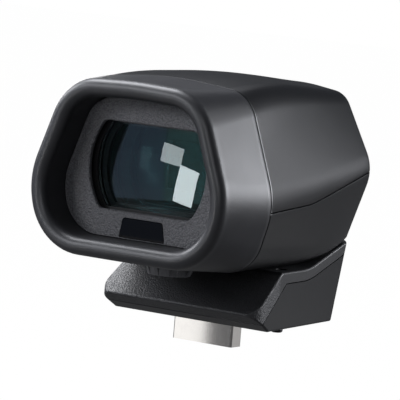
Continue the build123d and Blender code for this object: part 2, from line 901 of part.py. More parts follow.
with BuildPart() as barrel_rack:
    with BuildSketch(Plane.XY.offset(gear_bottom_height)):
        with BuildLine():
            Polyline(*rack_outline(), close=True)
        make_face()
    extrude(amount=gear_height)
    with BuildSketch(Plane.XY.offset(gear_top_height)):
        with Locations((rack_web_centre, back(dial_set_back))):
            Rectangle(rack_web_thickness, rack_length)
    extrude(amount=barrel_bottom_height - gear_top_height)
finish(barrel_rack, "barrel_rack")


def involute(base_radius, radius):
    """The angle by which an involute has turned from its base circle at a radius."""
    ratio = max(radius / base_radius, 1)
    roll = sqrt(ratio * ratio - 1)
    return roll - atan2(roll, 1)


def pinion_outline():
    """The pinion seen from above. A space faces the middle of a tooth of the rack."""
    base_radius = pitch_radius * cos(radians(pressure_angle))
    tip_radius = pitch_radius + gear_module * pinion_addendum_share
    root_radius = pitch_radius - gear_module * gear_root_share
    half_tooth = (tooth_pitch / 2 - gear_backlash) / (2 * pitch_radius)
    pitch_turn = involute(base_radius, pitch_radius)
    flank = []
    for step in range(flank_steps + 1):
        radius = base_radius + (tip_radius - base_radius) * step / flank_steps
        flank.append((radius, half_tooth + pitch_turn - involute(base_radius, radius)))
    tooth_count = int(rack_length / tooth_pitch)
    facing = pi / pinion_teeth if tooth_count % 2 else 0
    points = []
    for tooth in range(pinion_teeth):
        centre = facing + tooth * 2 * pi / pinion_teeth
        turn = centre - flank[0][1]
        points.append((root_radius * cos(turn), root_radius * sin(turn)))
        for radius, half_angle in flank:
            points.append((radius * cos(centre - half_angle), radius * sin(centre - half_angle)))
        for radius, half_angle in reversed(flank):
            points.append((radius * cos(centre + half_angle), radius * sin(centre + half_angle)))
        turn = centre + flank[0][1]
        points.append((root_radius * cos(turn), root_radius * sin(turn)))
    return points


with BuildPart() as dial_pinion:
    with BuildSketch(Plane((0, back(dial_set_back), gear_bottom_height))):
        with BuildLine():
            Polyline(*pinion_outline(), close=True)
        make_face()
        Circle(dial_shaft_radius, mode=Mode.SUBTRACT)
    extrude(amount=gear_height)
finish(dial_pinion, "dial_pinion")

# Dioptre dial below the head

dial_top_height = head_underside_height - dial_washer_thickness - 2 * dial_washer_gap

with BuildPart() as diopter_dial:
    with BuildSketch(Plane((0, back(dial_set_back), dial_top_height), z_dir=(0, 0, -1))):
        Circle(dial_core_radius)
        rib_reach = dial_rib_radius - dial_core_radius / 2
        with PolarLocations(dial_core_radius / 2 + rib_reach / 2, dial_ribs, start_angle=90):
            Rectangle(rib_reach, dial_rib_width)
    extrude(amount=dial_height, taper=dial_taper)
    with BuildSketch(Plane((0, back(dial_set_back), dial_top_height), z_dir=(0, 0, -1))):
        Circle(dial_shaft_radius)
    extrude(amount=dial_bore_depth, mode=Mode.SUBTRACT)
finish(diopter_dial, "diopter_dial")

with BuildPart() as dial_shaft:
    with BuildSketch(Plane((0, back(dial_set_back), dial_top_height - dial_bore_depth))):
        Circle(dial_shaft_radius)
    extrude(amount=gear_top_height - dial_top_height + dial_bore_depth)
finish(dial_shaft, "dial_shaft")

with BuildPart() as dial_friction_washer:
    with BuildSketch(Plane((0, back(dial_set_back), head_underside_height - dial_washer_thickness))):
        Circle(dial_washer_radius)
        Circle(dial_shaft_radius + running_fit, mode=Mode.SUBTRACT)
    extrude(amount=dial_washer_thickness)
finish(dial_friction_washer, "dial_friction_washer")

dial_boss_top = head_underside_height + cover_wall + dial_boss_height

with BuildPart() as dial_clip:
    with BuildSketch(Plane((0, back(dial_set_back), dial_boss_top + clip_gap))):
        Circle(clip_radius)
        Circle(dial_shaft_radius, mode=Mode.SUBTRACT)
        with Locations((0, clip_radius / 2)):
            Rectangle(clip_slot_width, clip_radius, mode=Mode.SUBTRACT)
    extrude(amount=clip_thickness)
finish(dial_clip, "dial_clip")

# Covers of the head

head_outside = head_block(0, rear_edge_radius)
head_inside = head_block(cover_wall)
bracket_top_height = hinge_height + bracket_thickness / 2
bracket_bottom_height = hinge_height - bracket_thickness / 2
ear_inner = knuckle_half_length + washer_gap + hinge_washer_thickness + washer_gap
ear_outer = ear_inner + ear_thickness
notch_half_width = ear_outer + pin_head_thickness + hinge_slot_clearance
notch_radius = knuckle_radius + 2 * hinge_slot_clearance
ear_lean = (hinge_set_back - ear_foot_set_back) / (hinge_height - base_wall - chassis_thickness)
notch_front = hinge_set_back - ear_lean * knuckle_radius - ear_half_width - hinge_notch_clearance
board_boss_places = [
    (side * (main_board_half_width - board_boss_inset), back(place))
    for side in (-1, 1)
    for place in (main_board_start + board_boss_inset, main_board_start + main_board_length - board_boss_inset)
]
bracket_screw_places = [
    (side * bracket_screw_half_spacing, back(bracket_screw_set_back)) for side in (-1, 1)
]

with BuildPart() as upper_cover:
    add(head_outside)
    add(head_inside, mode=Mode.SUBTRACT)
    with BuildSketch(Plane.YZ):
        draw(cover_seam_region(0))
    extrude(amount=seam_waist_half_width + overrun, both=True, mode=Mode.INTERSECT)
finish(upper_cover, "upper_cover")

with BuildPart() as lower_cover:
    add(head_outside)
    add(head_inside, mode=Mode.SUBTRACT)
    with BuildSketch(Plane.YZ):
        draw(cover_seam_region(cover_gap))
    extrude(amount=seam_waist_half_width + overrun, both=True, mode=Mode.SUBTRACT)
    with BuildSketch(Plane.XY):
        with Locations(*board_boss_places):
            Circle(boss_radius)
    extrude(amount=main_board_height)
    with BuildSketch(Plane.XY):
        with Locations(*bracket_screw_places):
            Circle(boss_radius)
    extrude(amount=bracket_bottom_height)
    with BuildSketch(Plane.XY):
        with Locations((0, back(dial_set_back))):
            Circle(dial_boss_radius)
    extrude(amount=dial_boss_top)
    add(head_outside, mode=Mode.INTERSECT)
    with BuildSketch(Plane.XY):
        with Locations((0, back(dial_set_back))):
            Circle(dial_shaft_radius + running_fit)
        with Locations(*bracket_screw_places):
            Circle(screw_shank_radius + screw_fit)
    extrude(amount=bracket_bottom_height, mode=Mode.SUBTRACT)
    with BuildSketch(Plane.XY):
        with Locations(*bracket_screw_places):
            Circle(screw_head_radius + screw_fit)
    extrude(amount=bracket_bottom_height - bracket_screw_reach, mode=Mode.SUBTRACT)
    with BuildSketch(Plane.YZ):
        with Locations((back(hinge_set_back), hinge_height)):
            Circle(notch_radius)
        notch_depth = head_depth - notch_front + overrun
        with Locations((back(notch_front) + notch_depth / 2, hinge_height / 2)):
            Rectangle(notch_depth, hinge_height)
    extrude(amount=notch_half_width, both=True, mode=Mode.SUBTRACT)
finish(lower_cover, "lower_cover")

# Hinge bracket of the head, with the knuckle that turns on the pin

with BuildPart() as head_hinge_bracket:
    with BuildSketch(Plane.YZ):
        with Locations((back(hinge_set_back), hinge_height)):
            Circle(knuckle_radius)
    extrude(amount=knuckle_half_length, both=True)
    bracket_length = hinge_set_back - bracket_set_back
    with BuildSketch(Plane.XY.offset(bracket_bottom_height)):
        with Locations((0, back(bracket_set_back) + bracket_length / 2)):
            Rectangle(2 * bracket_half_width, bracket_length)
    extrude(amount=bracket_thickness)
    with BuildSketch(Plane.XY.offset(bracket_bottom_height)):
        with Locations(*bracket_screw_places):
            Circle(screw_shank_radius + screw_fit)
    extrude(amount=bracket_thickness, mode=Mode.SUBTRACT)
    with BuildSketch(Plane.YZ):
        with Locations((back(hinge_set_back), hinge_height)):
            Circle(hinge_pin_radius + running_fit)
    extrude(amount=knuckle_half_length, both=True, mode=Mode.SUBTRACT)
finish(head_hinge_bracket, "head_hinge_bracket")

for name, place in zip(("bracket_screw_left", "bracket_screw_right"), bracket_screw_places):
    with BuildPart() as bracket_screw:
        screw_seat = bracket_bottom_height - bracket_screw_reach
        with BuildSketch(Plane.XY.offset(screw_seat - screw_head_height)):
            with Locations(place):
                Circle(screw_head_radius)
        extrude(amount=screw_head_height)
        with BuildSketch(Plane.XY.offset(screw_seat)):
            with Locations(place):
                Circle(screw_shank_radius)
        extrude(amount=bracket_top_height - screw_seat)
    finish(bracket_screw, name)

# Display, boards and heat spreader

with BuildPart() as display_holder:
    with BuildSketch(across(holder_set_back)):
        with Locations((0, optical_axis_height)):
            Rectangle(2 * holder_half_width, 2 * holder_half_height)
            Rectangle(
                2 * (holder_half_width - holder_wall),
                2 * (holder_half_height - holder_wall),
                mode=Mode.SUBTRACT,
            )
    extrude(amount=-holder_length)
finish(display_holder, "display_holder")

with BuildPart() as field_lens:
    field_front = holder_set_back + field_lens_gap + field_lens_bulge
    with BuildSketch(across(field_front)):
        with Locations((0, optical_axis_height)):
            Rectangle(2 * (holder_half_width - holder_wall), 2 * (holder_half_height - holder_wall))
    extrude(amount=field_lens_bulge - field_lens_thickness)
    with BuildSketch(across(field_front)):
        with Locations((0, optical_axis_height)):
            Circle(holder_half_height - holder_wall)
    extrude(amount=field_lens_bulge, taper=field_lens_taper)
finish(field_lens, "field_lens")

with BuildPart() as display_panel:
    with BuildSketch(across(display_set_back)):
        with Locations((0, optical_axis_height)):
            Rectangle(2 * (holder_half_width - holder_wall), 2 * (holder_half_height - holder_wall))
    extrude(amount=-display_thickness)
finish(display_panel, "display_panel")

with BuildPart() as display_board:
    with BuildSketch(across(board_set_back)):
        with Locations((0, optical_axis_height)):
            Rectangle(2 * holder_half_width, 2 * holder_half_height)
    extrude(amount=-board_thickness)
finish(display_board, "display_board")

with BuildPart() as heat_spreader:
    with BuildSketch(across(spreader_set_back)):
        with Locations((0, optical_axis_height)):
            Rectangle(2 * spreader_foot_half_width, 2 * holder_half_height)
    extrude(amount=-spreader_thickness)
    leg_height = optical_axis_height - holder_half_height - bracket_top_height
    with BuildSketch(across(spreader_set_back)):
        with Locations((0, bracket_top_height + leg_height / 2)):
            Rectangle(2 * spreader_foot_half_width, leg_height)
    extrude(amount=-spreader_thickness)
    with BuildSketch(across(spreader_set_back)):
        with Locations((0, bracket_top_height + spreader_foot_thickness / 2)):
            Rectangle(2 * spreader_foot_half_width, spreader_foot_thickness)
    extrude(amount=spreader_set_back - spreader_foot_end)
finish(heat_spreader, "heat_spreader")

with BuildPart() as main_board:
    with BuildSketch(Plane.XY.offset(main_board_height)):
        with Locations((0, back(main_board_start + main_board_length / 2))):
            Rectangle(2 * main_board_half_width, main_board_length)
    extrude(amount=board_thickness)
finish(main_board, "main_board")

with BuildPart() as main_board_chips:
    with BuildSketch(Plane.XY.offset(main_board_height + board_thickness)):
        chip_row = back(main_board_start + chip_row_inset)
        with Locations((-chip_pitch, chip_row), (chip_pitch, chip_row)):
            Rectangle(small_chip, small_chip)
        with Locations((0, chip_row)):
            Rectangle(large_chip, large_chip)
    extrude(amount=chip_height)
finish(main_board_chips, "main_board_chips")

with BuildPart() as display_flex:
    flex_bottom = main_board_height + board_thickness
    flex_height = optical_axis_height - holder_half_height - flex_bottom
    flex_centre = spreader_foot_half_width + flex_width / 2 + flex_thickness
    with BuildSketch(across(board_set_back)):
        with Locations((flex_centre, flex_bottom + flex_height / 2)):
            Rectangle(flex_width, flex_height)
    extrude(amount=-flex_thickness)
finish(display_flex, "display_flex")

# Covers of the base

base_outside = base_block(0, base_edge_radius)
base_inside = base_block(base_wall)
ear_centre = ear_inner + ear_thickness / 2
mounting_screw_places = [
    (side * mounting_screw_half_spacing, back(mounting_screw_set_back)) for side in (-1, 1)
]
base_screw_places = [
    (side * spacing, back(place))
    for spacing, place in (
        (base_screw_front_half_spacing, base_screw_front_set_back),
        (base_screw_rear_half_spacing, base_screw_rear_set_back),
    )
    for side in (-1, 1)
]
chassis_top = base_wall + chassis_thickness


def ear_sides(extra):
    """The side view of a hinge ear below its round end, wider all round by extra."""
    reach = ear_half_width + extra
    return [
        (back(hinge_set_back) - reach, hinge_height),
        (back(hinge_set_back) + reach, hinge_height),
        (back(ear_foot_set_back) + ear_foot_length / 2 + extra, chassis_top),
        (back(ear_foot_set_back) - ear_foot_length / 2 - extra, chassis_top),
    ]


with BuildPart() as base_upper_cover:
    add(base_outside)
    add(base_inside, mode=Mode.SUBTRACT)
    with BuildSketch(Plane.YZ):
        draw(base_seam_region(0))
    extrude(amount=base_front_half_width + overrun, both=True, mode=Mode.INTERSECT)
    with BuildSketch(Plane.XY.offset(base_seam_height)):
        with Locations(*mounting_screw_places):
            Circle(driver_hole_radius)
    extrude(amount=base_band_height, mode=Mode.SUBTRACT)
    for side in (-1, 1):
        with BuildSketch(Plane.YZ.offset(side * ear_centre - ear_thickness / 2 - hinge_slot_clearance)):
            with BuildLine():
                Polyline(*ear_sides(hinge_slot_clearance), close=True)
            make_face()
        extrude(amount=ear_thickness + 2 * hinge_slot_clearance, mode=Mode.SUBTRACT)
finish(base_upper_cover, "base_upper_cover")

connector_centre = back(connector_set_back + connector_depth / 2)

with BuildPart() as base_lower_cover:
    add(base_outside)
    add(base_inside, mode=Mode.SUBTRACT)
    with BuildSketch(Plane.YZ):
        draw(base_seam_region(base_seam_gap))
    extrude(amount=base_front_half_width + overrun, both=True, mode=Mode.SUBTRACT)
    with BuildSketch(Plane.XY):
        with Locations((0, connector_centre)):
            Rectangle(
                2 * (connector_half_width + connector_clearance),
                connector_depth + 2 * connector_clearance,
            )
        with Locations(*mounting_screw_places):
            Circle(mounting_screw_radius + bushing_hole_clearance)
        with Locations(*base_screw_places):
            Circle(screw_shank_radius + screw_fit)
    extrude(amount=base_wall, mode=Mode.SUBTRACT)
    with BuildSketch(Plane.XY):
        with Locations(*base_screw_places):
            Circle(screw_head_radius + screw_fit)
    extrude(amount=screw_head_height, mode=Mode.SUBTRACT)
finish(base_lower_cover, "base_lower_cover")

# Metal chassis: a floor with screw bosses, and the two ears of the hinge

chassis_inside = base_block(base_wall + chassis_gap)

with BuildPart() as base_chassis:
    add(chassis_inside)
    with BuildSketch(Plane.XY.offset(base_wall + chassis_gap)):
        Rectangle(2 * base_front_half_width, 2 * base_depth)
    extrude(amount=chassis_thickness - chassis_gap, mode=Mode.INTERSECT)
    with BuildSketch(Plane.XY.offset(chassis_top)):
        with Locations(*base_screw_places):
            Circle(base_boss_radius)
    extrude(amount=base_boss_height)
    for side in (-1, 1):
        with BuildSketch(Plane.YZ.offset(side * ear_centre - ear_thickness / 2)):
            with BuildLine():
                Polyline(*ear_sides(0), close=True)
            make_face()
            with Locations((back(hinge_set_back), hinge_height)):
                Circle(knuckle_radius)
        extrude(amount=ear_thickness)
    with BuildSketch(Plane.YZ):
        with Locations((back(hinge_set_back), hinge_height)):
            Circle(hinge_pin_radius)
    extrude(amount=notch_half_width, both=True, mode=Mode.SUBTRACT)
    with BuildSketch(Plane.XY.offset(base_wall)):
        with Locations((0, connector_centre)):
            Rectangle(
                2 * (connector_half_width + connector_clearance),
                connector_depth + 2 * connector_clearance,
            )
        with Locations(*mounting_screw_places):
            Circle(bushing_radius)
        with Locations(*base_screw_places):
            Circle(screw_shank_radius)
    extrude(amount=chassis_thickness + base_boss_height, mode=Mode.SUBTRACT)
finish(base_chassis, "base_chassis")

# Hinge pin with its washers and nut

with BuildPart() as hinge_pin:
    with BuildSketch(Plane.YZ.offset(-ear_outer - pin_head_thickness)):
        with Locations((back(hinge_set_back), hinge_height)):
            Circle(hinge_pin_radius)
    extrude(amount=2 * ear_outer + pin_head_thickness)
    with BuildSketch(Plane.YZ.offset(ear_outer)):
        with Locations((back(hinge_set_back), hinge_height)):
            Circle(pin_head_radius)
    extrude(amount=pin_head_thickness)
finish(hinge_pin, "hinge_pin")

with BuildPart() as hinge_nut:
    with BuildSketch(Plane.YZ.offset(-ear_outer - pin_head_thickness)):
        with Locations((back(hinge_set_back), hinge_height)):
            RegularPolygon(pin_head_radius, 6)
            Circle(hinge_pin_radius, mode=Mode.SUBTRACT)
    extrude(amount=pin_head_thickness)
finish(hinge_nut, "hinge_nut")

for name, side in (("hinge_washer_left", -1), ("hinge_washer_right", 1)):
    washer_centre = side * (knuckle_half_length + washer_gap + hinge_washer_thickness / 2)
    with BuildPart() as hinge_washer:
        with BuildSketch(Plane.YZ.offset(washer_centre - hinge_washer_thickness / 2)):
            with Locations((back(hinge_set_back), hinge_height)):
                Circle(hinge_washer_radius)
                Circle(hinge_pin_radius, mode=Mode.SUBTRACT)
        extrude(amount=hinge_washer_thickness)
    finish(hinge_washer, name)

# Connector: a metal shell, its insulating core and two rows of contacts

connector_outline = (2 * connector_half_width, connector_depth)

with BuildPart() as connector_shell:
    with BuildSketch(Plane((0, connector_centre, -connector_reach))):
        RectangleRounded(*connector_outline, connector_corner_radius)
        RectangleRounded(
            2 * (connector_half_width - connector_wall),
            connector_depth - 2 * connector_wall,
            connector_corner_radius / 2,
            mode=Mode.SUBTRACT,
        )
    extrude(amount=connector_reach + connector_height)
finish(connector_shell, "connector_shell")

with BuildPart() as connector_core:
    with BuildSketch(Plane((0, connector_centre, connector_recess - connector_reach))):
        RectangleRounded(
            2 * (connector_half_width - connector_wall),
            connector_depth - 2 * connector_wall,
            connector_corner_radius / 2,
        )
    extrude(amount=connector_reach - connector_recess + connector_height)
finish(connector_core, "connector_core")

with BuildPart() as connector_contacts:
    contact_offset = connector_depth / 2 - connector_wall - contact_thickness / 2 - contact_thickness
    with BuildSketch(Plane((0, connector_centre, connector_recess - connector_reach - contact_length))):
        with GridLocations(contact_pitch, 2 * contact_offset, contact_count, 2):
            Rectangle(contact_width, contact_thickness)
    extrude(amount=contact_length)
finish(connector_contacts, "connector_contacts")

with BuildPart() as connector_board:
    board_middle = connector_centre + connector_board_length / 2 - connector_depth / 2
    with BuildSketch(Plane((0, board_middle, connector_height))):
        Rectangle(2 * connector_board_half_width, connector_board_length)
    extrude(amount=connector_board_thickness)
finish(connector_board, "connector_board")

with BuildPart() as base_flex_cable:
    flex_start = board_middle + connector_board_length / 2 - base_flex_overlap
    flex_low = connector_height + connector_board_thickness
    flex_mid = flex_low + base_flex_mid_rise
    flex_high = flex_mid + base_flex_rise
    with BuildSketch(Plane.YZ):
        with BuildLine():
            Polyline(
                (flex_start, flex_low),
                (flex_start + base_flex_overlap, flex_low),
                (back(hinge_set_back - base_flex_mid_inset), flex_mid),
                (back(hinge_set_back - base_flex_inset), flex_high),
                (back(hinge_set_back - base_flex_inset), flex_high + flex_thickness),
                (back(hinge_set_back - base_flex_mid_inset), flex_mid + flex_thickness),
                (flex_start + base_flex_overlap, flex_low + flex_thickness),
                (flex_start, flex_low + flex_thickness),
                close=True,
            )
        make_face()
    extrude(amount=base_flex_width / 2, both=True)
finish(base_flex_cable, "base_flex_cable")

# Captive mounting screws, their bushings and return springs

bushing_top = base_wall + bushing_height

for side_name, place in zip(("left", "right"), mounting_screw_places):
    with BuildPart() as screw_bushing:
        with BuildSketch(Plane.XY.offset(base_wall)):
            with Locations(place):
                Circle(bushing_radius)
                Circle(mounting_screw_radius + running_fit, mode=Mode.SUBTRACT)
        extrude(amount=bushing_height)
    finish(screw_bushing, f"screw_bushing_{side_name}")

    with BuildPart() as mounting_screw:
        with BuildSketch(Plane.XY.offset(-mounting_screw_stub)):
            with Locations(place):
                Circle(mounting_screw_radius)
        extrude(amount=mounting_screw_stub - thread_end_drop)
        with BuildSketch(Plane.XY.offset(-thread_end_drop)):
            with Locations(place):
                Circle(mounting_screw_shank_radius)
        extrude(amount=thread_end_drop + mounting_screw_head_seat)
        with BuildSketch(Plane.XY.offset(mounting_screw_head_seat)):
            with Locations(place):
                Circle(mounting_screw_head_radius)
        extrude(amount=mounting_screw_head_height)
        with BuildSketch(Plane.XY.offset(mounting_screw_head_seat + mounting_screw_head_height)):
            with Locations(place):
                RegularPolygon(hex_socket_radius, 6)
        extrude(amount=-hex_socket_depth, mode=Mode.SUBTRACT)
        fillet(mounting_screw.edges().group_by(Axis.Z)[0], radius=mounting_screw_tip_radius)
    finish(mounting_screw, f"mounting_screw_{side_name}")

    with BuildPart() as screw_spring:
        with BuildSketch(Plane.XY.offset(bushing_top)):
            with Locations(place):
                Circle(mounting_screw_radius + spring_gap + spring_wire)
                Circle(mounting_screw_radius + spring_gap, mode=Mode.SUBTRACT)
        extrude(amount=mounting_screw_head_seat - bushing_top)
    finish(screw_spring, f"screw_spring_{side_name}")

# Screws that close the base, and the pads that the head rests on

for number, place in enumerate(base_screw_places, start=1):
    with BuildPart() as base_screw:
        with BuildSketch(Plane.XY):
            with Locations(place):
                Circle(screw_head_radius)
        extrude(amount=screw_head_height)
        with BuildSketch(Plane.XY.offset(screw_head_height)):
            with Locations(place):
                Circle(screw_shank_radius)
        extrude(amount=base_screw_length - screw_head_height)
    finish(base_screw, f"base_screw_{number}")

for name, side in (("rest_pad_left", -1), ("rest_pad_right", 1)):
    with BuildPart() as rest_pad:
        with BuildSketch(Plane((side * rest_pad_half_spacing, back(rest_pad_set_back), base_top_height))):
            Rectangle(2 * rest_pad_half_width, rest_pad_length)
        extrude(amount=rest_pad_thickness)
    finish(rest_pad, name)
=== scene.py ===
# %% [markdown]
# # An electronic viewfinder, dressed for its portrait
#
# The CAD model comes in as a fixed frame. This script gives it its looks: soft rubber, satin
# and grained plastic, coated glass and plated metal. Everything is in metres, and lengths
# that come from the drawing are written in millimetres and placed with `at`.

# %% Load the frame
from math import atan2, cos, pi, radians, sin, sqrt, tan

import bmesh
import bpy
from mathutils import Matrix, Vector


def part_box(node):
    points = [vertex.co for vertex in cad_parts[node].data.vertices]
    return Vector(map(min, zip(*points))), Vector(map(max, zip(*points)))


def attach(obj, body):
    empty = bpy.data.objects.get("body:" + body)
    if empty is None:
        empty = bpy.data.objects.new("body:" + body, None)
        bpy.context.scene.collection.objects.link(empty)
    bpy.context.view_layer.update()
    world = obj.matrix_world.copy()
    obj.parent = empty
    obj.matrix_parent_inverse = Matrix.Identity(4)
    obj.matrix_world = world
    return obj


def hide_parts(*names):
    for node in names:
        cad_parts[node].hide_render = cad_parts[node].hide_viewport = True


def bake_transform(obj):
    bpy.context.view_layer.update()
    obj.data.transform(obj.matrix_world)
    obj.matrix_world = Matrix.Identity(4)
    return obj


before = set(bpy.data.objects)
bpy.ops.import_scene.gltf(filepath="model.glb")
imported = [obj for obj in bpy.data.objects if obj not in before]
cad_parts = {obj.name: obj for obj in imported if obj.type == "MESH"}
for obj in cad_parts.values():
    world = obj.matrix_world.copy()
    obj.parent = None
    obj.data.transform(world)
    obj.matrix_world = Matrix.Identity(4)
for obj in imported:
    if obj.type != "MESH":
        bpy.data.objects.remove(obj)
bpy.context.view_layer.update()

# %% [markdown]
# ## Where things are
#
# The drawing counts lengths back from the front of the eyecup, which lies 60 mm in front of
# the origin. One helper turns such a place into a point in metres, so that the numbers below
# are those of the drawing.

# %% Places in the drawing
MM = 0.001
EYE_TO_ORIGIN = 60.0
AXIS_HEIGHT = 44.6


def at(x, set_back, z):
    """A point in metres: x to the right, set_back behind the front of the eyecup, z up."""
    return Vector((x, set_back - EYE_TO_ORIGIN, z)) * MM


print("front of the eyecup:", [round(value, 4) for value in at(0, 0, AXIS_HEIGHT)])

# %% [markdown]
# ## The camera
#
# The photograph was taken with a long lens from the user's right and a little above, and the
# camera was rolled slightly. A camera's own axes are three columns of its matrix: to the
# right, up, and back towards the photographer. Building them from three angles is easier to
# check than turning the camera by hand.

# %% Camera
AZIMUTH, ELEVATION, ROLL = radians(33.99), radians(5.77), radians(4.66)
CAMERA_PLACE = Vector((0.5596, -0.8512, 0.1361))
SENSOR_WIDTH = 36.0
FOCAL_PIXELS, PICTURE_PIXELS = 3465, 400

forward = Vector((-sin(AZIMUTH) * cos(ELEVATION), cos(AZIMUTH) * cos(ELEVATION), -sin(ELEVATION)))
level_right = Vector((cos(AZIMUTH), sin(AZIMUTH), 0))
level_up = level_right.cross(forward)
right = level_right * cos(ROLL) + level_up * sin(ROLL)
up = level_up * cos(ROLL) - level_right * sin(ROLL)

camera_data = bpy.data.cameras.new("camera")
camera_data.sensor_width = SENSOR_WIDTH
camera_data.lens = SENSOR_WIDTH * FOCAL_PIXELS / PICTURE_PIXELS
camera = bpy.data.objects.new("camera", camera_data)
bpy.context.scene.collection.objects.link(camera)
camera.matrix_world = Matrix((
    (right.x, up.x, -forward.x, CAMERA_PLACE.x),
    (right.y, up.y, -forward.y, CAMERA_PLACE.y),
    (right.z, up.z, -forward.z, CAMERA_PLACE.z),
    (0, 0, 0, 1),
))
bpy.context.scene.camera = camera
print("focal length:", round(camera_data.lens, 1), "mm")

# %% [markdown]
# ## Sums in a shader
#
# A shader adds and multiplies with Math nodes, and a chain of them is hard to read. The class
# `Value` wraps one socket and overloads Python's operators, so that `1 - mask * 0.3` makes its
# own Math nodes. Every other node comes from the method `node` of the class `Nodes`: its
# settings go first, because they can change which sockets it has.

# %% Values and nodes
def plug(tree, item, socket):
    """Links a value to a socket, or writes a plain number or colour there."""
    if isinstance(item, Value):
        tree.links.new(item.socket, socket)
    else:
        socket.default_value = item


class Value:
    """A number or colour that changes over a surface."""

    def __init__(self, tree, socket):
        self.tree = tree
        self.socket = socket

    def maths(self, operation, *others):
        node = self.tree.nodes.new("ShaderNodeMath")
        node.operation = operation
        for item, socket in zip((self, *others), node.inputs):
            plug(self.tree, item, socket)
        return Value(self.tree, node.outputs[0])

    def __add__(self, other):
        return self.maths("ADD", other)

    def __mul__(self, other):
        return self.maths("MULTIPLY", other)

    def __sub__(self, other):
        return self.maths("SUBTRACT", other)

    def __rsub__(self, other):
        return (self * -1) + other

    __radd__ = __add__
    __rmul__ = __mul__

    def clamped(self):
        return self.maths("MAXIMUM", 0.0).maths("MINIMUM", 1.0)


class Nodes:
    """A tree of nodes, and the one way to add a node to it."""

    def __init__(self, tree):
        self.tree = tree

    def node(self, kind, settings=None, inputs=None, output=0):
        """Adds a node: its settings, then the values or links of its sockets."""
        made = self.tree.nodes.new(kind)
        for name, value in (settings or {}).items():
            setattr(made, name, value)
        for name, item in (inputs or {}).items():
            plug(self.tree, item, made.inputs[name])
        return Value(self.tree, made.outputs[output]) if made.outputs else None


# %% [markdown]
# ## A finish
#
# One material for each finish, and each has one main shader. Its grain could come from pictures
# wrapped round the pieces. Noise and cells read from Object coordinates need no unwrapping, run
# on over every edge, and can be given their size in millimetres.

# %% Finishes
class Finish(Nodes):
    """A material with one main shader."""

    def __init__(self, name, **constants):
        self.material = bpy.data.materials.new(name)
        self.material.use_nodes = True
        super().__init__(self.material.node_tree)
        self.shader = self.tree.nodes["Principled BSDF"]
        for socket, value in constants.items():
            self.shader.inputs[socket.replace("_", " ")].default_value = value

    def feed(self, **values):
        """Gives the main shader what changes over the surface."""
        for name, item in values.items():
            plug(self.tree, item, self.shader.inputs[name.replace("_", " ")])
        return self

    def place(self):
        return self.node("ShaderNodeTexCoord", output="Object")

    def noise(self, grain_mm, detail=2.0, roughness=0.5, stretch=(1, 1, 1)):
        """Soft random spots of about grain_mm across."""
        spread = self.node(
            "ShaderNodeMapping", inputs={"Vector": self.place(), "Scale": stretch},
        )
        scale = 1 / (grain_mm * MM)
        return self.node(
            "ShaderNodeTexNoise",
            inputs={"Vector": spread, "Scale": scale, "Detail": detail, "Roughness": roughness},
        )

    def cells(self, grain_mm):
        """Packed rounded cells of about grain_mm across, 0 at the middle of each."""
        return self.node(
            "ShaderNodeTexVoronoi", {"feature": "SMOOTH_F1"},
            {"Vector": self.place(), "Scale": 1 / (grain_mm * MM), "Smoothness": 0.6},
        )

    def between(self, share, dark, light):
        """A colour between two, by share. A Mix node's colours are its sockets 6 and 7."""
        return self.node(
            "ShaderNodeMix", {"data_type": "RGBA"},
            {0: share, 6: (*dark, 1), 7: (*light, 1)}, output=2,
        )

    def bumped(self, height, depth_mm):
        """Raises the surface by up to depth_mm where height is 1."""
        normal = self.node(
            "ShaderNodeBump",
            inputs={"Height": height, "Distance": depth_mm * MM, "Strength": 1.0},
        )
        return self.feed(Normal=normal)

    def report(self):
        print("finish", self.material.name, "with", len(self.tree.nodes), "nodes")


# %% [markdown]
# ## Rubber of the eyecup
#
# Soft moulded rubber is dark grey and silky: its highlights are wide, with a faint mottling
# where the mould was blasted. With one roughness all over, the cup would look like lacquer. So
# a fine noise in the bump breaks the highlight up a little, and a larger one moves the
# roughness.

# %% Eyecup rubber
rubber = Finish("eyecup_rubber")
mottle = rubber.noise(6.0, 3.0)
skin = rubber.noise(0.22, 2.0)
rubber.feed(
    Base_Color=rubber.between(mottle, (0.019, 0.0195, 0.0216), (0.031, 0.0318, 0.0352)),
    Roughness=0.33 + mottle * 0.09 + skin * 0.05,
)
rubber.bumped(skin, 0.012)
rubber.report()

# %% [markdown]
# ## Satin plastic of the covers
#
# The covers are moulded with a fine spark texture. Its grains are a fifth of a millimetre, so
# they only soften the highlight and speckle it slightly. One rough noise does for the colour,
# the roughness and the bump, because on a real moulding they come from the same grains.

# %% Satin cover plastic
satin = Finish("cover_plastic")
blotch = satin.noise(9.0, 3.0)
spark = satin.noise(0.2, 3.0, 0.6)
satin.feed(
    Base_Color=satin.between(spark, (0.0045, 0.0048, 0.0054), (0.010, 0.0106, 0.012)),
    Roughness=0.29 + blotch * 0.06 + spark * 0.05,
)
satin.bumped(spark, 0.014)
satin.report()

# %% [markdown]
# ## Grained plastic of the face plate and the slope
#
# The plate round the window and the slope of the base have a coarse leather grain of round cells.
# They are half a millimetre across on the plate, and a third on the slope. Voronoi cells give that
# shape where plain noise would look like sand. The top of each cell is painted lighter in the
# colour, a painted highlight where light would catch the grain, mixed with a random speckle of the
# grain's own tone.

# %% Grained plastic
grained = Finish("grained_plastic")
cell = grained.cells(0.5)
speck = grained.noise(0.34, 2.0)
lump = (1 - cell).clamped()
# Painted highlight: the colour is lighter on top of each grain cell, where light would catch it.
# The speckle is the grain's own random tone.
grain_tone_and_painted_glint = lump * 0.7 + speck * 0.3
grained.feed(
    Base_Color=grained.between(grain_tone_and_painted_glint, (0.026, 0.026, 0.0285), (0.165, 0.165, 0.175)),
    Roughness=0.5 + speck * 0.12,
)
grained.bumped(lump, 0.26)
grained.report()

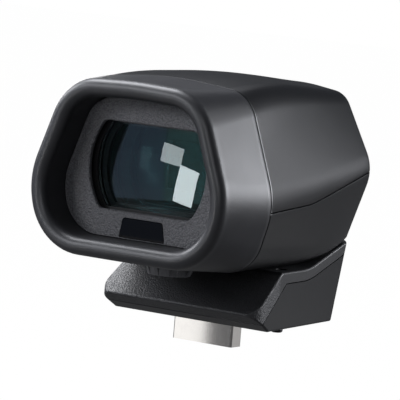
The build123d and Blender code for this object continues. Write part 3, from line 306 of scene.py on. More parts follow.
# %% [markdown]
# The upper cover of the base is one moulding that is grained on its slope alone. It could be
# cut in two, but then the cut would show. The slope ends where the level top begins, at a known
# distance from the eye, so a mask read from Object coordinates draws the line.

# %% Base cover: grain on the slope, satin elsewhere
SLOPE_END = (44.2 - EYE_TO_ORIGIN) * MM
SLOPE_FADE = 0.4 * MM

base_top = Finish("base_cover_plastic")
whereabouts = base_top.node(
    "ShaderNodeSeparateXYZ", inputs={"Vector": base_top.place()}, output="Y",
)
on_slope = ((SLOPE_END - whereabouts) * (1 / SLOPE_FADE)).clamped()
cell = base_top.cells(0.36)
speck = base_top.noise(0.2, 3.0, 0.6)
lump = (1 - cell).clamped() * on_slope + speck * (1 - on_slope) * 0.15
# Painted highlight here too: on the slope the tops of the grain cells are lighter in the colour,
# where light would catch them. The speckle is the plastic's own tone.
grain_tone_and_painted_glint = lump * 0.6 + speck * 0.2
base_top.feed(
    Base_Color=base_top.between(grain_tone_and_painted_glint, (0.006, 0.0063, 0.0070), (0.055, 0.056, 0.060)),
    Roughness=0.38 + speck * 0.08 + on_slope * 0.08,
)
base_top.bumped(lump, 0.13)
base_top.report()

# %% [markdown]
# ## Small finishes
#
# The remaining finishes are for small parts and for what hides inside. Each could have its own
# cell, but one helper makes them all: a colour that drifts between two tones, a roughness, and
# a bump of the right grain.

# %% Helper for plain finishes
def plain(name, dark, light, rough, grain_mm=0.3, depth_mm=0.006, stretch=(1, 1, 1), **constants):
    """A finish of two close tones with a fine bump."""
    made = Finish(name, **constants)
    drift = made.noise(grain_mm * 12, 3.0, stretch=stretch)
    fine = made.noise(grain_mm, 2.0, stretch=stretch)
    made.feed(
        Base_Color=made.between(drift * 0.6 + fine * 0.4, dark, light),
        Roughness=rough + (fine - 0.5) * (rough * 0.4),
    )
    return made.bumped(fine, depth_mm)


# %% Plain plastics
inner_black = plain("inner_black", (0.004, 0.004, 0.0045), (0.009, 0.009, 0.010), 0.55)
gloss_black = plain(
    "gloss_black", (0.0015, 0.0015, 0.002), (0.003, 0.003, 0.0035), 0.08, 2.0, 0.001,
    Specular_IOR_Level=0.12,
)
lower_satin = plain(
    "base_lower_plastic", (0.005, 0.0053, 0.006), (0.010, 0.0105, 0.0118), 0.34, 0.2, 0.012,
)
dial_plastic = plain("dial_plastic", (0.090, 0.090, 0.096), (0.150, 0.150, 0.160), 0.34, 0.25, 0.01)
board_green = plain("board_green", (0.010, 0.075, 0.030), (0.022, 0.135, 0.060), 0.3, 0.5, 0.004)
chip_black = plain("chip_black", (0.010, 0.010, 0.011), (0.022, 0.022, 0.023), 0.5, 0.15, 0.006)
flex_amber = plain("flex_amber", (0.36, 0.13, 0.02), (0.52, 0.22, 0.04), 0.3, 0.6, 0.003)
gear_white = plain("gear_white", (0.62, 0.60, 0.55), (0.78, 0.76, 0.71), 0.4, 0.3, 0.004)
pad_rubber = plain("pad_rubber", (0.014, 0.014, 0.014), (0.028, 0.028, 0.028), 0.7, 0.25, 0.012)
screen_black = plain("screen_black", (0.004, 0.007, 0.010), (0.007, 0.012, 0.016), 0.12, 3.0, 0.001)

# %% Plain metals
black_metal = plain(
    "black_metal", (0.020, 0.020, 0.022), (0.045, 0.045, 0.048), 0.35, 0.2, 0.004, Metallic=0.7,
)
steel = plain("steel", (0.42, 0.42, 0.43), (0.60, 0.60, 0.61), 0.28, 0.15, 0.004, Metallic=1.0)
aluminium = plain(
    "aluminium", (0.60, 0.60, 0.61), (0.76, 0.76, 0.77), 0.32, 0.3, 0.004, (1, 1, 8), Metallic=1.0,
)
gold = plain("contact_gold", (0.72, 0.46, 0.14), (0.92, 0.66, 0.28), 0.22, 0.2, 0.002, Metallic=1.0)
print("finishes so far:", len(bpy.data.materials))

# %% [markdown]
# ## Plated connector
#
# The plug is drawn from plated sheet, and the drawing leaves fine lines along its height. An
# anisotropic highlight would stretch the same way but show no lines. Noise stretched along Z
# gives them, in the colour, the roughness and the bump alike.

# %% Plated metal
plated = Finish("plated_metal", Metallic=1.0)
lines = plated.noise(0.12, 2.0, stretch=(1, 1, 0.04))
cloud = plated.noise(3.0, 2.0)
plated.feed(
    Base_Color=plated.between(lines * 0.5 + cloud * 0.5, (0.56, 0.54, 0.52), (0.74, 0.72, 0.69)),
    Roughness=0.07 + lines * 0.03,
)
plated.bumped(lines, 0.0012)
plated.report()

# %% [markdown]
# ## Coated glass
#
# The eyepiece is clear glass with a coating that reflects teal and navy. The glass lets light
# through, so the black barrel behind it shows, and the tint sits on the reflection. A coating
# keeps the inner faces from mirroring one another, and a low index of refraction does that
# here. Only the face towards the eye has the index of real glass, and it carries the tint of
# the lenses behind it too.

# %% Lens glass
glass = Finish(
    "lens_glass", Roughness=0.0, IOR=1.12, Transmission_Weight=1.0,
    Specular_Tint=(0.42, 0.80, 0.86, 1),
)
drift = glass.noise(14.0, 1.0)
glass.feed(Base_Color=glass.between(drift, (0.78, 0.92, 0.93), (0.86, 0.97, 0.95)))
glass.report()

front_glass = Finish(
    "front_lens_glass", Roughness=0.0, IOR=1.52, Transmission_Weight=1.0,
    Specular_Tint=(0.80, 0.96, 0.98, 1),
)
drift = front_glass.noise(14.0, 1.0)
front_glass.feed(Base_Color=front_glass.between(drift, (0.34, 0.40, 0.44), (0.40, 0.47, 0.50)))
front_glass.report()

# %% [markdown]
# ## Sheets laid over curves
#
# Most new pieces here are one sheet that follows a row of curves: the profile of the eyecup
# carried round its outline, or the outline of the head carried from front to back. The sheet
# starts as a grid with as many squares as the curves need, and each of its points moves to its
# curve. Where the sheet closes on itself, its doubled points are merged.

# %% Sheets over rows of points
def steps(count):
    """Shares from 0 to 1 in count equal steps."""
    return [index / count for index in range(count + 1)]


def lay_sheet(bm, rows):
    """Adds a grid to bm and lays it over rows of points."""
    across, down = len(rows[0]), len(rows)
    made = bmesh.ops.create_grid(bm, x_segments=across - 1, y_segments=down - 1, size=1.0)["verts"]
    made.sort(key=lambda vert: (round(vert.co.y, 6), round(vert.co.x, 6)))
    for index, vert in enumerate(made):
        vert.co = rows[index // across][index % across]


# %% [markdown]
# A bmesh is only a workbench: its shape becomes a piece when it is written to a mesh and the
# mesh gets an object. Each piece takes its finish here, rides on the body that carries it, and
# stands for the CAD nodes that it replaces.

# %% Pieces
DOUBLED = 0.002 * MM


def object_from(bm, name):
    """Keeps bm as the mesh of a new object in the scene."""
    mesh = bpy.data.meshes.new(name)
    bm.to_mesh(mesh)
    bm.free()
    made = bpy.data.objects.new(name, mesh)
    bpy.context.scene.collection.objects.link(made)
    return made


def finish_piece(bm, name, finish, body, *nodes):
    """Closes bm, turns its faces outwards and makes it a piece that rides on body."""
    bmesh.ops.remove_doubles(bm, verts=bm.verts, dist=DOUBLED)
    bmesh.ops.recalc_face_normals(bm, faces=bm.faces)
    piece = object_from(bm, name)
    piece.data.materials.append(finish.material)
    piece.data.shade_smooth()
    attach(piece, body)
    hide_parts(*nodes)
    return piece


def sharp_over(piece, degrees):
    """Keeps edges crisp where two faces meet at more than this angle."""
    piece.data.set_sharp_from_angle(angle=radians(degrees))


# %% [markdown]
# ## The six-sided section
#
# The head is a hexagon with a slightly peaked crown and large corner radii. Seven numbers place
# its corners, and each section along the head has its own. A helper rounds each corner with a
# true arc and returns the right half, from the middle of the crown to the middle of the bottom,
# because the left half is its mirror image.

# %% Section helpers
CORNER_NUMBERS = 7
ARC_STEPS = 14


def section(crown, top, waist, bottom, radii):
    """A section as one flat list of numbers, so that two sections can be blended."""
    return [crown, *top, *waist, *bottom, *radii]


def corners_of(numbers, outward):
    """The four right-hand corners of a section moved outwards, and their radii."""
    crown, tx, tz, wx, wz, bx, bz = numbers[:CORNER_NUMBERS]
    flat = [(-tx, tz), (0, crown), (tx, tz), (wx, wz), (bx, bz), (-bx, bz)]
    points = [Vector(pair) for pair in flat]
    moved = []
    for before, here, after in zip(points, points[1:], points[2:]):
        arriving = (here - before).normalized()
        leaving = (after - here).normalized()
        side_in = Vector((-arriving.y, arriving.x))
        side_out = Vector((-leaving.y, leaving.x))
        step = (side_in + side_out) / (1 + side_in.dot(side_out))
        moved.append(here + step * outward)
    return moved, [max(radius + outward, 0.05) for radius in numbers[CORNER_NUMBERS:]]


def half_outline(numbers, outward=0.0):
    """The right half of a section, from the middle of the crown to the middle of the bottom."""
    (crown, top, waist, bottom), radii = corners_of(numbers, outward)
    chain = [Vector((-top.x, top.y)), crown, top, waist, bottom, Vector((-bottom.x, bottom.y))]
    line = []
    for index, radius in enumerate(radii, start=1):
        here = chain[index]
        arriving = (here - chain[index - 1]).normalized()
        leaving = (chain[index + 1] - here).normalized()
        turn = arriving.angle(leaving)
        reach = radius * tan(turn / 2)
        inward = Vector((arriving.y, -arriving.x))
        centre = here - arriving * reach + inward * radius
        for step in range(ARC_STEPS + 1):
            swing = turn * step / ARC_STEPS
            line.append(centre - inward * radius * cos(swing) + arriving * radius * sin(swing))
    line = [point for point in line if point.x > 1e-6]
    return [Vector((0, line[0].y))] + line + [Vector((0, line[-1].y))]


# %% [markdown]
# Five sections are drawn: the eyecup's rim, the line where it meets the covers, and three along
# the covers, which swell a little and then taper towards the back. Each has the height of its
# crown, its three other corners on the right, and four radii.

# %% The drawn sections
UNDERSIDE = 17.9

rim = section(67.5, (21.85, 66.5), (32.0, 39.0), (27.3, 21.3), (150.0, 13.0, 20.0, 15.0))
seam = section(71.4, (26.65, 69.1), (38.0, 38.6), (32.1, UNDERSIDE), (120.0, 10.9, 20.8, 12.2))
high = section(72.9, (24.4, 70.4), (35.3, 40.2), (29.8, UNDERSIDE), (100.0, 10.0, 18.0, 11.0))
slim = section(71.8, (21.0, 69.4), (32.0, 43.0), (26.4, UNDERSIDE), (80.0, 8.5, 15.0, 9.5))
rear = section(69.7, (16.9, 67.3), (28.8, 46.2), (19.4, 19.5), (60.0, 7.0, 12.0, 8.0))
print("points in half an outline:", len(half_outline(rim)))

# %% [markdown]
# ## The eyecup
#
# One soft moulding: a rolled lip as a half circle, a short wall inside it that runs back to the
# face plate, and a band outside it that flares out to the covers. It could be extruded ring by
# ring, but the rim and the covers differ in outline. So each place on the profile is a section
# of its own, moved in or out, and the band blends from one outline to the other.

# %% Eyecup
LIP = 2.7
EYECUP_DEPTH = 20.0
INNER_WALL = (11.7, 9.5, 6.0, 3.4)
BAND_END = EYECUP_DEPTH - 0.36
# How far the rear edge is turned in, and how far it stays short of the band's depth.
REAR_TURN = ((0.05, 0.24), (0.18, 0.19), (1.5, 0.19))


def row_at(set_back, outline):
    return [at(point.x, set_back, point.y) for point in outline]


def mirrored(outline):
    return [Vector((-point.x, point.y)) for point in outline]


def closed_row(set_back, half):
    """A right half and its mirror image as a row of points, once round."""
    ring = half + mirrored(reversed(half[1:-1]))
    return row_at(set_back, ring + ring[:1])


profile = [(-LIP, set_back) for set_back in INNER_WALL]
profile += [(-LIP * cos(pi * share), LIP - LIP * sin(pi * share)) for share in steps(18)]
rows = [closed_row(set_back, half_outline(rim, outward)) for outward, set_back in profile]
outside = [half_outline(rim, LIP), half_outline(seam)]
for share in steps(14)[1:]:
    half = [a.lerp(b, share) for a, b in zip(*outside)]
    rows.append(closed_row(LIP + (BAND_END - LIP) * share, half))
for inward, short in REAR_TURN:
    rows.append(closed_row(EYECUP_DEPTH - short, half_outline(seam, -inward)))

bm = bmesh.new()
lay_sheet(bm, rows)
eyecup = finish_piece(bm, "eyecup_moulding", rubber, "head", "eyecup")
print("eyecup faces:", len(eyecup.data.polygons))

# %% [markdown]
# ## The covers of the head
#
# Two plastic shells meet on a line that rises towards the back. Between the four drawn sections
# the outline changes smoothly. Straight blends would leave a crease at each of them, so each
# number of a section follows a cubic through its four values.

# %% Sections between the drawn ones
HEAD_DEPTH = 87.8
STATIONS = [(EYECUP_DEPTH, seam), (38.0, high), (62.0, slim), (HEAD_DEPTH, rear)]


def section_at(set_back):
    """The section at a distance behind the front of the eyecup."""
    weights = []
    for here, _ in STATIONS:
        weight = 1.0
        for other, _ in STATIONS:
            if other != here:
                weight *= (set_back - other) / (here - other)
        weights.append(weight)
    return [sum(w * s[1][i] for w, s in zip(weights, STATIONS)) for i in range(len(seam))]


print("crown half way along:", round(section_at((EYECUP_DEPTH + HEAD_DEPTH) / 2)[0], 2))

# %% [markdown]
# Two lines along the head bound its covers. The line between the shells is nearly level in
# front and bends upwards. The underside is level, climbs a ramp and then goes round the hinge.

# %% Seam and underside
SEAM_START, SEAM_BEND, SEAM_END = (EYECUP_DEPTH, 36.6), (47.5, 37.6), (HEAD_DEPTH, 45.6)
SEAM_EASE = 0.12
RAMP_START = 62.5
RAMP_RISE, RAMP_RUN = 7.25, 24.8
RAMP = atan2(RAMP_RISE, RAMP_RUN)
HINGE_SET_BACK = 83.6
HINGE_HEIGHT = 28.444
HINGE_CORNER = 4.2


def height_on(start, end, set_back):
    """Height of a straight line at a distance behind the front of the eyecup."""
    return start[1] + (set_back - start[0]) * (end[1] - start[1]) / (end[0] - start[0])


def seam_height(set_back):
    """Height of the line between the covers, eased where it bends."""
    front = height_on(SEAM_START, SEAM_BEND, set_back)
    back = height_on(SEAM_BEND, SEAM_END, set_back)
    return (front + back) / 2 + sqrt((back - front) ** 2 + SEAM_EASE) / 2


def floor_height(set_back):
    """Height of the underside: level, then up the ramp, then round the hinge."""
    if set_back < RAMP_START:
        return UNDERSIDE
    if set_back < HINGE_SET_BACK + HINGE_CORNER * sin(RAMP):
        return UNDERSIDE + (set_back - RAMP_START) * tan(RAMP)
    beside = min(set_back - HINGE_SET_BACK, HINGE_CORNER)
    return HINGE_HEIGHT - sqrt(HINGE_CORNER**2 - beside**2)


print("seam height:", [round(seam_height(place[0]), 2) for place in (SEAM_START, SEAM_END)])

# %% [markdown]
# Both covers have a section at the same places: close together where the front edge is rounded,
# evenly along the sides, and close together again round the rear edge. Each place has an inset,
# which is how far the outline has shrunk there.

# %% Places along the covers
FRONT_EDGE = [(20.16, 1.2), (20.16, 0.22), (20.21, 0.06), (20.38, 0.0), (20.9, 0.0)]
SIDE_START = 22.0
REAR_EDGE = 2.4
SIDE_END = HEAD_DEPTH - REAR_EDGE


def cut_above(line, height):
    """The part of a falling line that lies above a height."""
    kept = [line[0]]
    for a, b in zip(line, line[1:]):
        if b.y < height:
            share = (a.y - height) / max(a.y - b.y, 1e-9)
            kept.append(a.lerp(b, min(max(share, 0.0), 1.0)))
            return kept
        kept.append(b)
    return kept


def resample(line, count):
    """The same line with count evenly spaced points."""
    lengths = [0.0]
    for a, b in zip(line, line[1:]):
        lengths.append(lengths[-1] + (b - a).length)
    found, index = [], 0
    for step in range(count):
        goal = lengths[-1] * step / (count - 1)
        while index < len(line) - 2 and lengths[index + 1] < goal:
            index += 1
        span = max(lengths[index + 1] - lengths[index], 1e-9)
        found.append(line[index].lerp(line[index + 1], (goal - lengths[index]) / span))
    return found


def dropped(row, height):
    """The same points at one height."""
    return [Vector((point.x, point.y, height * MM)) for point in row]


places = list(FRONT_EDGE)
places += [(SIDE_START + (SIDE_END - SIDE_START) * share, 0.0) for share in steps(34)]
for share in steps(10)[1:]:
    turn = share * pi / 2
    places.append((SIDE_END + REAR_EDGE * sin(turn), REAR_EDGE * (1 - cos(turn))))
print("sections along a cover:", len(places))

# %% [markdown]
# The sheet of the upper cover runs from the line up over the crown and down to the line on the
# other side. A last row closes it behind. The sheet could be given a second skin by hand, but a
# Solidify modifier does it, and a narrow Bevel rounds the wall's edges so that they catch light.

# %% Upper cover
UPPER_POINTS = 64
WALL, WALL_EDGE = 1.4, 0.18


def walled(piece):
    """Gives a sheet a wall on its inside and rounds the wall's edges."""
    wall = piece.modifiers.new("wall", "SOLIDIFY")
    wall.thickness = WALL * MM
    wall.offset = -1.0
    rounding = piece.modifiers.new("rounding", "BEVEL")
    rounding.width = WALL_EDGE * MM
    rounding.segments = 2
    rounding.limit_method = "ANGLE"
    rounding.angle_limit = radians(50)


rows = []
for set_back, inset in places:
    line = cut_above(half_outline(section_at(set_back), -inset), seam_height(set_back))
    half = resample(line, UPPER_POINTS)
    rows.append(row_at(set_back, mirrored(reversed(half[1:])) + half))
rows.append(dropped(rows[-1], seam_height(HEAD_DEPTH)))

bm = bmesh.new()
lay_sheet(bm, rows)
upper = finish_piece(bm, "upper_cover_shell", satin, "head", "upper_cover")
walled(upper)
print("upper cover faces before its wall:", len(upper.data.polygons))

# %% [markdown]
# The lower cover is made in the same way, from the line down and across the bottom. A narrow gap
# on the line keeps the two shells apart, as on the real one.

# %% Lower cover
SEAM_GAP = 0.42
SIDE_POINTS, BOTTOM_POINTS = 44, 22


def flipped(line):
    """The same line upside down, from its other end."""
    return [Vector((point.x, -point.y)) for point in reversed(line)]


rows = []
for set_back, inset in places:
    whole = half_outline(section_at(set_back), -inset)
    lowest = max(floor_height(set_back), min(point.y for point in whole)) + 1e-4
    below = flipped(cut_above(flipped(whole), SEAM_GAP - seam_height(set_back)))
    side = cut_above(below, lowest)
    bottom = [side[-1], Vector((0, side[-1].y))]
    half = resample(side, SIDE_POINTS) + resample(bottom, BOTTOM_POINTS)[1:]
    rows.append(row_at(set_back, mirrored(half) + list(reversed(half[:-1]))))
rows.append(dropped(rows[-1], seam_height(HEAD_DEPTH) - SEAM_GAP))

bm = bmesh.new()
lay_sheet(bm, rows)
lower = finish_piece(bm, "lower_cover_shell", satin, "head", "lower_cover")
walled(lower)
print("lower cover faces before its wall:", len(lower.data.polygons))

# %% [markdown]
# ## Room for the hinge
#
# The lower rear of the lower cover is cut away for the hinge, and two holes let the bracket's
# screws in. The cuts could be drawn into the sheet, but a box and three cylinders that are taken
# out of it leave clean edges.

# %% Hinge notch and screw holes
NOTCH_WIDTH, NOTCH_DEPTH, NOTCH_HEIGHT = 37.5, 15.0, 30.0
NOTCH_START = 77.7
NOTCH_RADIUS = 5.0
HOLE_RADIUS, HOLE_DEPTH = 1.96, 12.0
HOLE_PLACES = [(-7.0, 69.0, 19.0), (7.0, 69.0, 19.0)]


def add_cylinder(bm, radius, length, segments):
    """Adds a closed cylinder that stands round the origin."""
    return bmesh.ops.create_cone(
        bm, cap_ends=True, segments=segments,
        radius1=radius * MM, radius2=radius * MM, depth=length * MM,
    )["verts"]


def notch_box(bm):
    made = bmesh.ops.create_cube(bm, size=1.0)["verts"]
    size = Vector((NOTCH_WIDTH, NOTCH_DEPTH, NOTCH_HEIGHT)) * MM
    middle = at(0, NOTCH_START + NOTCH_DEPTH / 2, HINGE_HEIGHT - NOTCH_HEIGHT / 2)
    bmesh.ops.scale(bm, vec=size, verts=made)
    bmesh.ops.translate(bm, vec=middle, verts=made)


def notch_round(bm):
    made = add_cylinder(bm, NOTCH_RADIUS, NOTCH_WIDTH, 48)
    bmesh.ops.rotate(bm, cent=(0, 0, 0), matrix=Matrix.Rotation(pi / 2, 3, "Y"), verts=made)
    bmesh.ops.translate(bm, vec=at(0, HINGE_SET_BACK, HINGE_HEIGHT), verts=made)


def screw_holes(bm):
    for place in HOLE_PLACES:
        made = add_cylinder(bm, HOLE_RADIUS, HOLE_DEPTH, 32)
        bmesh.ops.translate(bm, vec=at(*place), verts=made)


print("screw holes:", len(HOLE_PLACES))

# %% [markdown]
# Each shape is taken out by a Boolean modifier, which comes after the wall and before its
# rounding, so that the cut edges are rounded too. The result is kept as a plain mesh, and the
# cutters go.

# %% Cut the lower cover
def cutter(name, build):
    bm = bmesh.new()
    build(bm)
    return object_from(bm, name)


def cut_away(piece, *builders):
    """Takes shapes out of a piece and keeps the result as its mesh."""
    tools = [cutter(f"cutter_{index}", build) for index, build in enumerate(builders)]
    for tool in tools:
        cut = piece.modifiers.new("cut", "BOOLEAN")
        cut.operation = "DIFFERENCE"
        cut.solver = "EXACT"
        cut.object = tool
        piece.modifiers.move(len(piece.modifiers) - 1, 1)
    graph = bpy.context.evaluated_depsgraph_get()
    cut_mesh = bpy.data.meshes.new_from_object(piece.evaluated_get(graph))
    piece.modifiers.clear()
    piece.data = cut_mesh
    for tool in tools:
        bpy.data.objects.remove(tool)


cut_away(lower, notch_box, notch_round, screw_holes)
for shell in (upper, lower):
    sharp_over(shell, 35)
print("lower cover faces after cutting:", len(lower.data.polygons))

# %% [markdown]
# ## Lenses
#
# Each lens is a round element cut flat above and below. A sphere could be cut down to it, but
# its poles would sit in the reflections. Rings of points run from the middle of the front out
# to the edge and back to the middle of the rear, and each ring bulges with its distance from
# the axis. Smooth shading on such rings gives the clean reflections of glass.

# %% Lens helpers
LENS_RADIUS, LENS_FLAT = 20.35, 12.85
FRONT_RADIUS = 160.0
RING_POINTS, RINGS = 96, 24


def flatted_ring(share):
    """Points round a circle that is cut flat above and below, scaled by share."""
    ring = []
    for index in range(RING_POINTS + 1):
        angle = 2 * pi * index / RING_POINTS
        x, z = LENS_RADIUS * cos(angle), LENS_RADIUS * sin(angle)
        if abs(z) > LENS_FLAT:
            shrink = LENS_FLAT / abs(z)
            x, z = x * shrink, z * shrink
        ring.append(Vector((x * share, z * share)))
    return ring


def bulge(radius, distance):
    """How far a sphere has curved away at a distance from the axis."""
    return radius - sqrt(radius * radius - distance * distance)


def lens_face(shares, set_back, radius, sense):
    """The rings of one face: a sense of 1 curves it towards the back, -1 to the front."""
    rows = []
    for share in shares:
        ring = flatted_ring(share)
        depths = [set_back + sense * bulge(radius, point.length) for point in ring]
        rows.append([at(p.x, depth, AXIS_HEIGHT + p.y) for p, depth in zip(ring, depths)])
    return rows


def make_lens(node, coating, front, thickness, back_radius, sense):
    """A lens of a thickness on the axis: a sense of 1 makes it bulge, -1 hollows it."""
    rows = lens_face(steps(RINGS), front, FRONT_RADIUS, sense)
    rows += lens_face(reversed(steps(RINGS)), front + thickness, back_radius, -sense)
    bm = bmesh.new()
    lay_sheet(bm, rows)
    made = finish_piece(bm, node + "_glass", coating, "lens", node)
    made.data.materials.append(glass.material)
    middle = (front + thickness / 2 - EYE_TO_ORIGIN) * MM
    for face in made.data.polygons:
        face.material_index = 1 if face.center.y > middle else 0
    sharp_over(made, 40)
    print(made.name, "faces:", len(made.data.polygons))


# %% [markdown]
# The eyepiece has three lenses: one that bulges both ways, a hollow one and a thick one. The
# second and the third begin where their CAD solids do. A hollow lens begins at its rim, so its
# middle lies further back.

# %% Three lenses
def front_of(node):
    """How far behind the eyecup's front a node begins."""
    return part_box(node)[0].y / MM + EYE_TO_ORIGIN


make_lens("eye_lens", front_glass, 14.1, 5.5, 110.0, 1)
second_front = front_of("second_lens") + bulge(FRONT_RADIUS, LENS_RADIUS)
make_lens("second_lens", glass, second_front, 2.0, 80.0, -1)
make_lens("third_lens", glass, front_of("third_lens"), 6.5, 90.0, 1)

# %% [markdown]
# ## CAD solids that keep their shape
#
# A CAD solid comes in as loose triangles. Where it shows, a copy is merged and shaded smooth
# with crisp edges, so that its fillets catch the light as one surface. Plain smooth shading
# would bend the light on the flat faces beside a fillet, and a Weighted Normal modifier, which
# counts large faces more, keeps them flat.

# %% Dress the CAD solids
LOOSE = 0.001 * MM


def smooth_copy(node, finish, body, degrees=30.0):
    """A merged and smooth-shaded copy of a CAD node that stands for it."""
    bm = bmesh.new()
    bm.from_mesh(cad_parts[node].data)
    bmesh.ops.remove_doubles(bm, verts=bm.verts, dist=LOOSE)
    piece = object_from(bm, node + "_dressed")
    piece.data.materials.clear()
    piece.data.materials.append(finish.material)
    piece.data.shade_smooth()
    weighted = piece.modifiers.new("weighted_normals", "WEIGHTED_NORMAL")
    weighted.keep_sharp = True
    if body:
        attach(piece, body)
    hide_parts(node)
    sharp_over(piece, degrees)
    return piece


smooth_copy("base_upper_cover", base_top, "base", 25)
smooth_copy("base_lower_cover", lower_satin, "base", 25)
smooth_copy("diopter_dial", dial_plastic, "dial")
smooth_copy("connector_shell", plated, "base")
smooth_copy("head_hinge_bracket", black_metal, "head")
smooth_copy("hinge_pin", black_metal, "base")
smooth_copy("mounting_screw_left", black_metal, "screw_left")
smooth_copy("mounting_screw_right", black_metal, "screw_right")

# %% [markdown]
# ## Return springs
#
# A spring under the head of each mounting screw pushes it back up. If it rode on the screw, it
# would go down into the bushing. Here each spring is a smooth copy that rides on no body, and its
# place is baked into its mesh.

# %% Springs between base and screws
for side in ("left", "right"):
    lowest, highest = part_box("screw_spring_" + side)
    spring = smooth_copy("screw_spring_" + side, steel, None)
    "screw_" + side
    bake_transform(spring)
    print(spring.name, "height in mm:", round((highest.z - lowest.z) / MM, 2))

# %% [markdown]
# ## Solids that only take a finish
#
# The face plate and the sensor window have flat faces, and the rest hides inside. These solids
# stay as they are, and their material slots get the right finish.

# %% Finishes for the other solids
FINISHES = {
    grained: ["face_plate"],
    gloss_black: ["eye_sensor_window"],
    inner_black: [
        "front_frame", "lens_guide_tube", "display_holder", "lens_barrel", "lens_retainer",
        "lens_spacer_front", "lens_spacer_rear", "connector_core", "dial_friction_washer",
    ],
    black_metal: ["base_chassis", "hinge_nut"],
    steel: [
        "bracket_screw_left", "bracket_screw_right", "dial_shaft", "dial_clip",
        "hinge_washer_left", "hinge_washer_right", "base_screw_1", "base_screw_2",
        "base_screw_3", "base_screw_4",
    ],
    gold: ["connector_contacts", "screw_bushing_left", "screw_bushing_right"],
    board_green: ["eye_sensor_board", "display_board", "main_board", "connector_board"],
    chip_black: ["main_board_chips"],
    flex_amber: ["display_flex", "base_flex_cable"],
    gear_white: ["barrel_rack", "dial_pinion"],
    aluminium: ["heat_spreader"],
    pad_rubber: ["rest_pad_left", "rest_pad_right"],
    screen_black: ["display_panel"],
    glass: ["field_lens"],
}
for finish, nodes in FINISHES.items():
    for node in nodes:
        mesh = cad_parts[node].data
        mesh.materials.clear()
        mesh.materials.append(finish.material)
print("CAD nodes with a finish:", sum(len(nodes) for nodes in FINISHES.values()))

# %% [markdown]
# ## Floor and world
#
# The viewfinder floats on white. A white floor lit as strongly as that would throw its light
# back onto the dark plastics. So floor and world ask by which kind of ray they are seen: they
# are white to the camera and through glass, much dimmer in a glossy reflection, and nearly dark
# as light. What is left of the floor catches a faint shadow.

# %% Helper for a bright background
WHITE = (1, 1, 1, 1)


class Backdrop(Nodes):
    """A background that is bright to look at and gives little light."""

    def __init__(self, tree):
        super().__init__(tree)
        tree.nodes.clear()

    def seen(self, direct_share, glossy_share):
        """How much of the bright background a ray sees, by the kind of ray."""
        kinds = ("Is Camera Ray", "Is Transmission Ray", "Is Glossy Ray")
        camera_ray, through_glass, glossy = [
            self.node("ShaderNodeLightPath", output=kind) for kind in kinds
        ]
        direct = (camera_ray + through_glass).clamped()
        return (direct * direct_share + glossy * glossy_share).clamped()

    def fill(self, output_kind, dim, bright, share):
        """Mixes a dim and a bright shader by share and sends them to the output."""
        mixed = self.node("ShaderNodeMixShader", inputs={"Fac": share, 1: dim, 2: bright})
        self.node(output_kind, inputs={"Surface": mixed})
        print("backdrop nodes:", len(self.tree.nodes))


# %% Floor
FLOOR_HEIGHT = -0.10
FLOOR_SIZE = 3.0

bm = bmesh.new()
bmesh.ops.create_grid(bm, x_segments=1, y_segments=1, size=FLOOR_SIZE)
bmesh.ops.translate(bm, vec=(0, 0, FLOOR_HEIGHT), verts=bm.verts)
floor = object_from(bm, "floor")

floor_white = bpy.data.materials.new("floor_white")
floor_white.use_nodes = True
floor.data.materials.append(floor_white)
paint = Backdrop(floor_white.node_tree)
matte = paint.node("ShaderNodeBsdfDiffuse", inputs={"Color": (0.08, 0.08, 0.08, 1)})
glow = paint.node("ShaderNodeEmission", inputs={"Color": WHITE, "Strength": 1.08})
shown = paint.seen(direct_share=0.92, glossy_share=0.05)
paint.fill("ShaderNodeOutputMaterial", matte, glow, shown)

# %% World
world = bpy.data.worlds.new("studio")
bpy.context.scene.world = world
world.use_nodes = True
sky = Backdrop(world.node_tree)
faint = sky.node("ShaderNodeBackground", inputs={"Color": (0.75, 0.88, 1.2, 1), "Strength": 0.020})
bright = sky.node("ShaderNodeBackground", inputs={"Color": WHITE})
shown = sky.seen(direct_share=1.0, glossy_share=0.02)
sky.fill("ShaderNodeOutputWorld", faint, bright, shown)

# %% [markdown]
# ## Lamps
#
# Dark plastic shows its shape by its highlights alone. Small lamps would make hard spots, so
# large soft ones draw long highlights: two from behind on the right for the flared band and the
# side of the covers, one overhead for the rim and the slope, two in front for the rolled rim
# and the face plate, and two on the left.

# %% Softboxes
DAYLIGHT = (0.96, 0.975, 1.03)
MIDDLE = Vector((0.0, -0.015, 0.040))


def softbox(name, place, target, width, height, watts, tint=DAYLIGHT):
    """A rectangular lamp at a place in metres that faces a target."""
    data = bpy.data.lights.new(name, "AREA")
    data.shape = "RECTANGLE"
    data.size = width
    data.size_y = height
    data.energy = watts
    data.color = tint
    lamp = bpy.data.objects.new(name, data)
    bpy.context.scene.collection.objects.link(lamp)
    lamp.location = place
    lamp.rotation_euler = (Vector(place) - Vector(target)).to_track_quat("Z", "Y").to_euler()
    return lamp


def towards(x, y, z, distance):
    """A place at a distance from the middle of the viewfinder."""
    return MIDDLE + Vector((x, y, z)).normalized() * distance


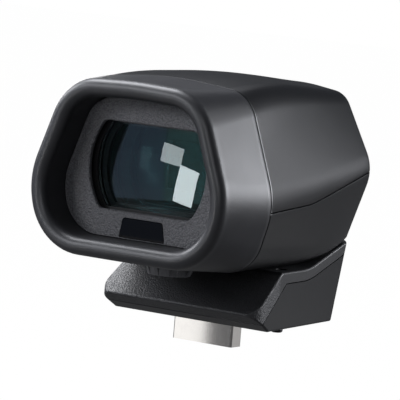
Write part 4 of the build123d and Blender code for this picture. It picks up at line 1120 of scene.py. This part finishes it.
softbox("rear_right_softbox", towards(0.60, 0.50, 0.62, 0.9), MIDDLE, 0.50, 0.40, 1.3)
softbox("low_right_softbox", towards(0.70, 0.66, 0.22, 0.9), MIDDLE, 0.40, 0.30, 7.0)
softbox("rear_left_softbox", towards(-0.50, 0.62, 0.60, 0.9), MIDDLE, 0.50, 0.20, 0.25)
softbox("overhead_softbox", towards(-0.54, -0.06, 0.83, 0.8), MIDDLE, 0.38, 0.38, 7.4)
softbox("front_softbox", towards(-0.53, -0.78, 0.33, 0.9), MIDDLE, 0.40, 0.22, 2.6)
softbox("left_softbox", towards(-0.88, -0.20, 0.36, 0.8), MIDDLE, 0.22, 0.30, 3.4)
softbox("front_right_softbox", towards(0.30, -0.92, 0.25, 0.9), MIDDLE, 0.35, 0.25, 1.1)
print("softboxes:", len(bpy.data.lights))

# %% [markdown]
# The glass mirrors what stands in front of it and to the left. Two dim cards give the coating
# its navy and its teal, and two small bright panes are the windows that show in it. One card
# lights the left end of the slope, one the left half of the plug and one the plug's side. They
# stand close, and the camera doesn't see them.

# %% Cards and panes
LENS = at(4, 14, AXIS_HEIGHT)
SLOPE = at(-27, 34, 6)
PLUG = at(0, 45.5, -3.7)
NAVY, TEAL, WINDOW = (0.55, 0.68, 1.0), (0.60, 1.0, 0.97), (1.0, 0.94, 0.95)


def card(name, target, azimuth, elevation, distance, width, height, roll, watts, tint=(1, 1, 1)):
    """A small lamp seen only as a reflection: azimuth and elevation as seen from its target."""
    a, e = radians(azimuth), radians(elevation)
    place = target + Vector((sin(a) * cos(e), -cos(a) * cos(e), sin(e))) * distance
    lamp = softbox(name, place, target, width, height, watts, tint)
    turned = lamp.rotation_euler.to_matrix() @ Matrix.Rotation(radians(roll), 3, "Z")
    lamp.rotation_euler = turned.to_euler()
    lamp.visible_camera = False


card("navy_card", LENS, -43.0, -2.2, 0.42, 0.16, 0.146, 0, 0.040, NAVY)
card("teal_card", LENS, -21.9, -2.2, 0.42, 0.15, 0.146, 0, 0.034, TEAL)
card("window_upper", LENS, -30.0, -1.3, 0.36, 0.040, 0.028, -8, 0.025, WINDOW)
card("window_lower", LENS, -25.5, -8.4, 0.36, 0.037, 0.056, -14, 0.092, WINDOW)
card("slope_card", SLOPE, -103.0, 56.0, 0.080, 0.035, 0.035, 0, 0.037)
card("plug_card", PLUG, -40.6, -7.0, 0.15, 0.038, 0.040, 0, 0.0060)
card("plug_side_card", PLUG, 146.7, -6.3, 0.15, 0.040, 0.022, 0, 0.0008)
print("lamps with the cards:", len(bpy.data.lights))

# %% [markdown]
# ## Last settings
#
# The Standard view transform shows colours as they are written.

# %% Finish
bpy.context.scene.view_settings.view_transform = "Standard"
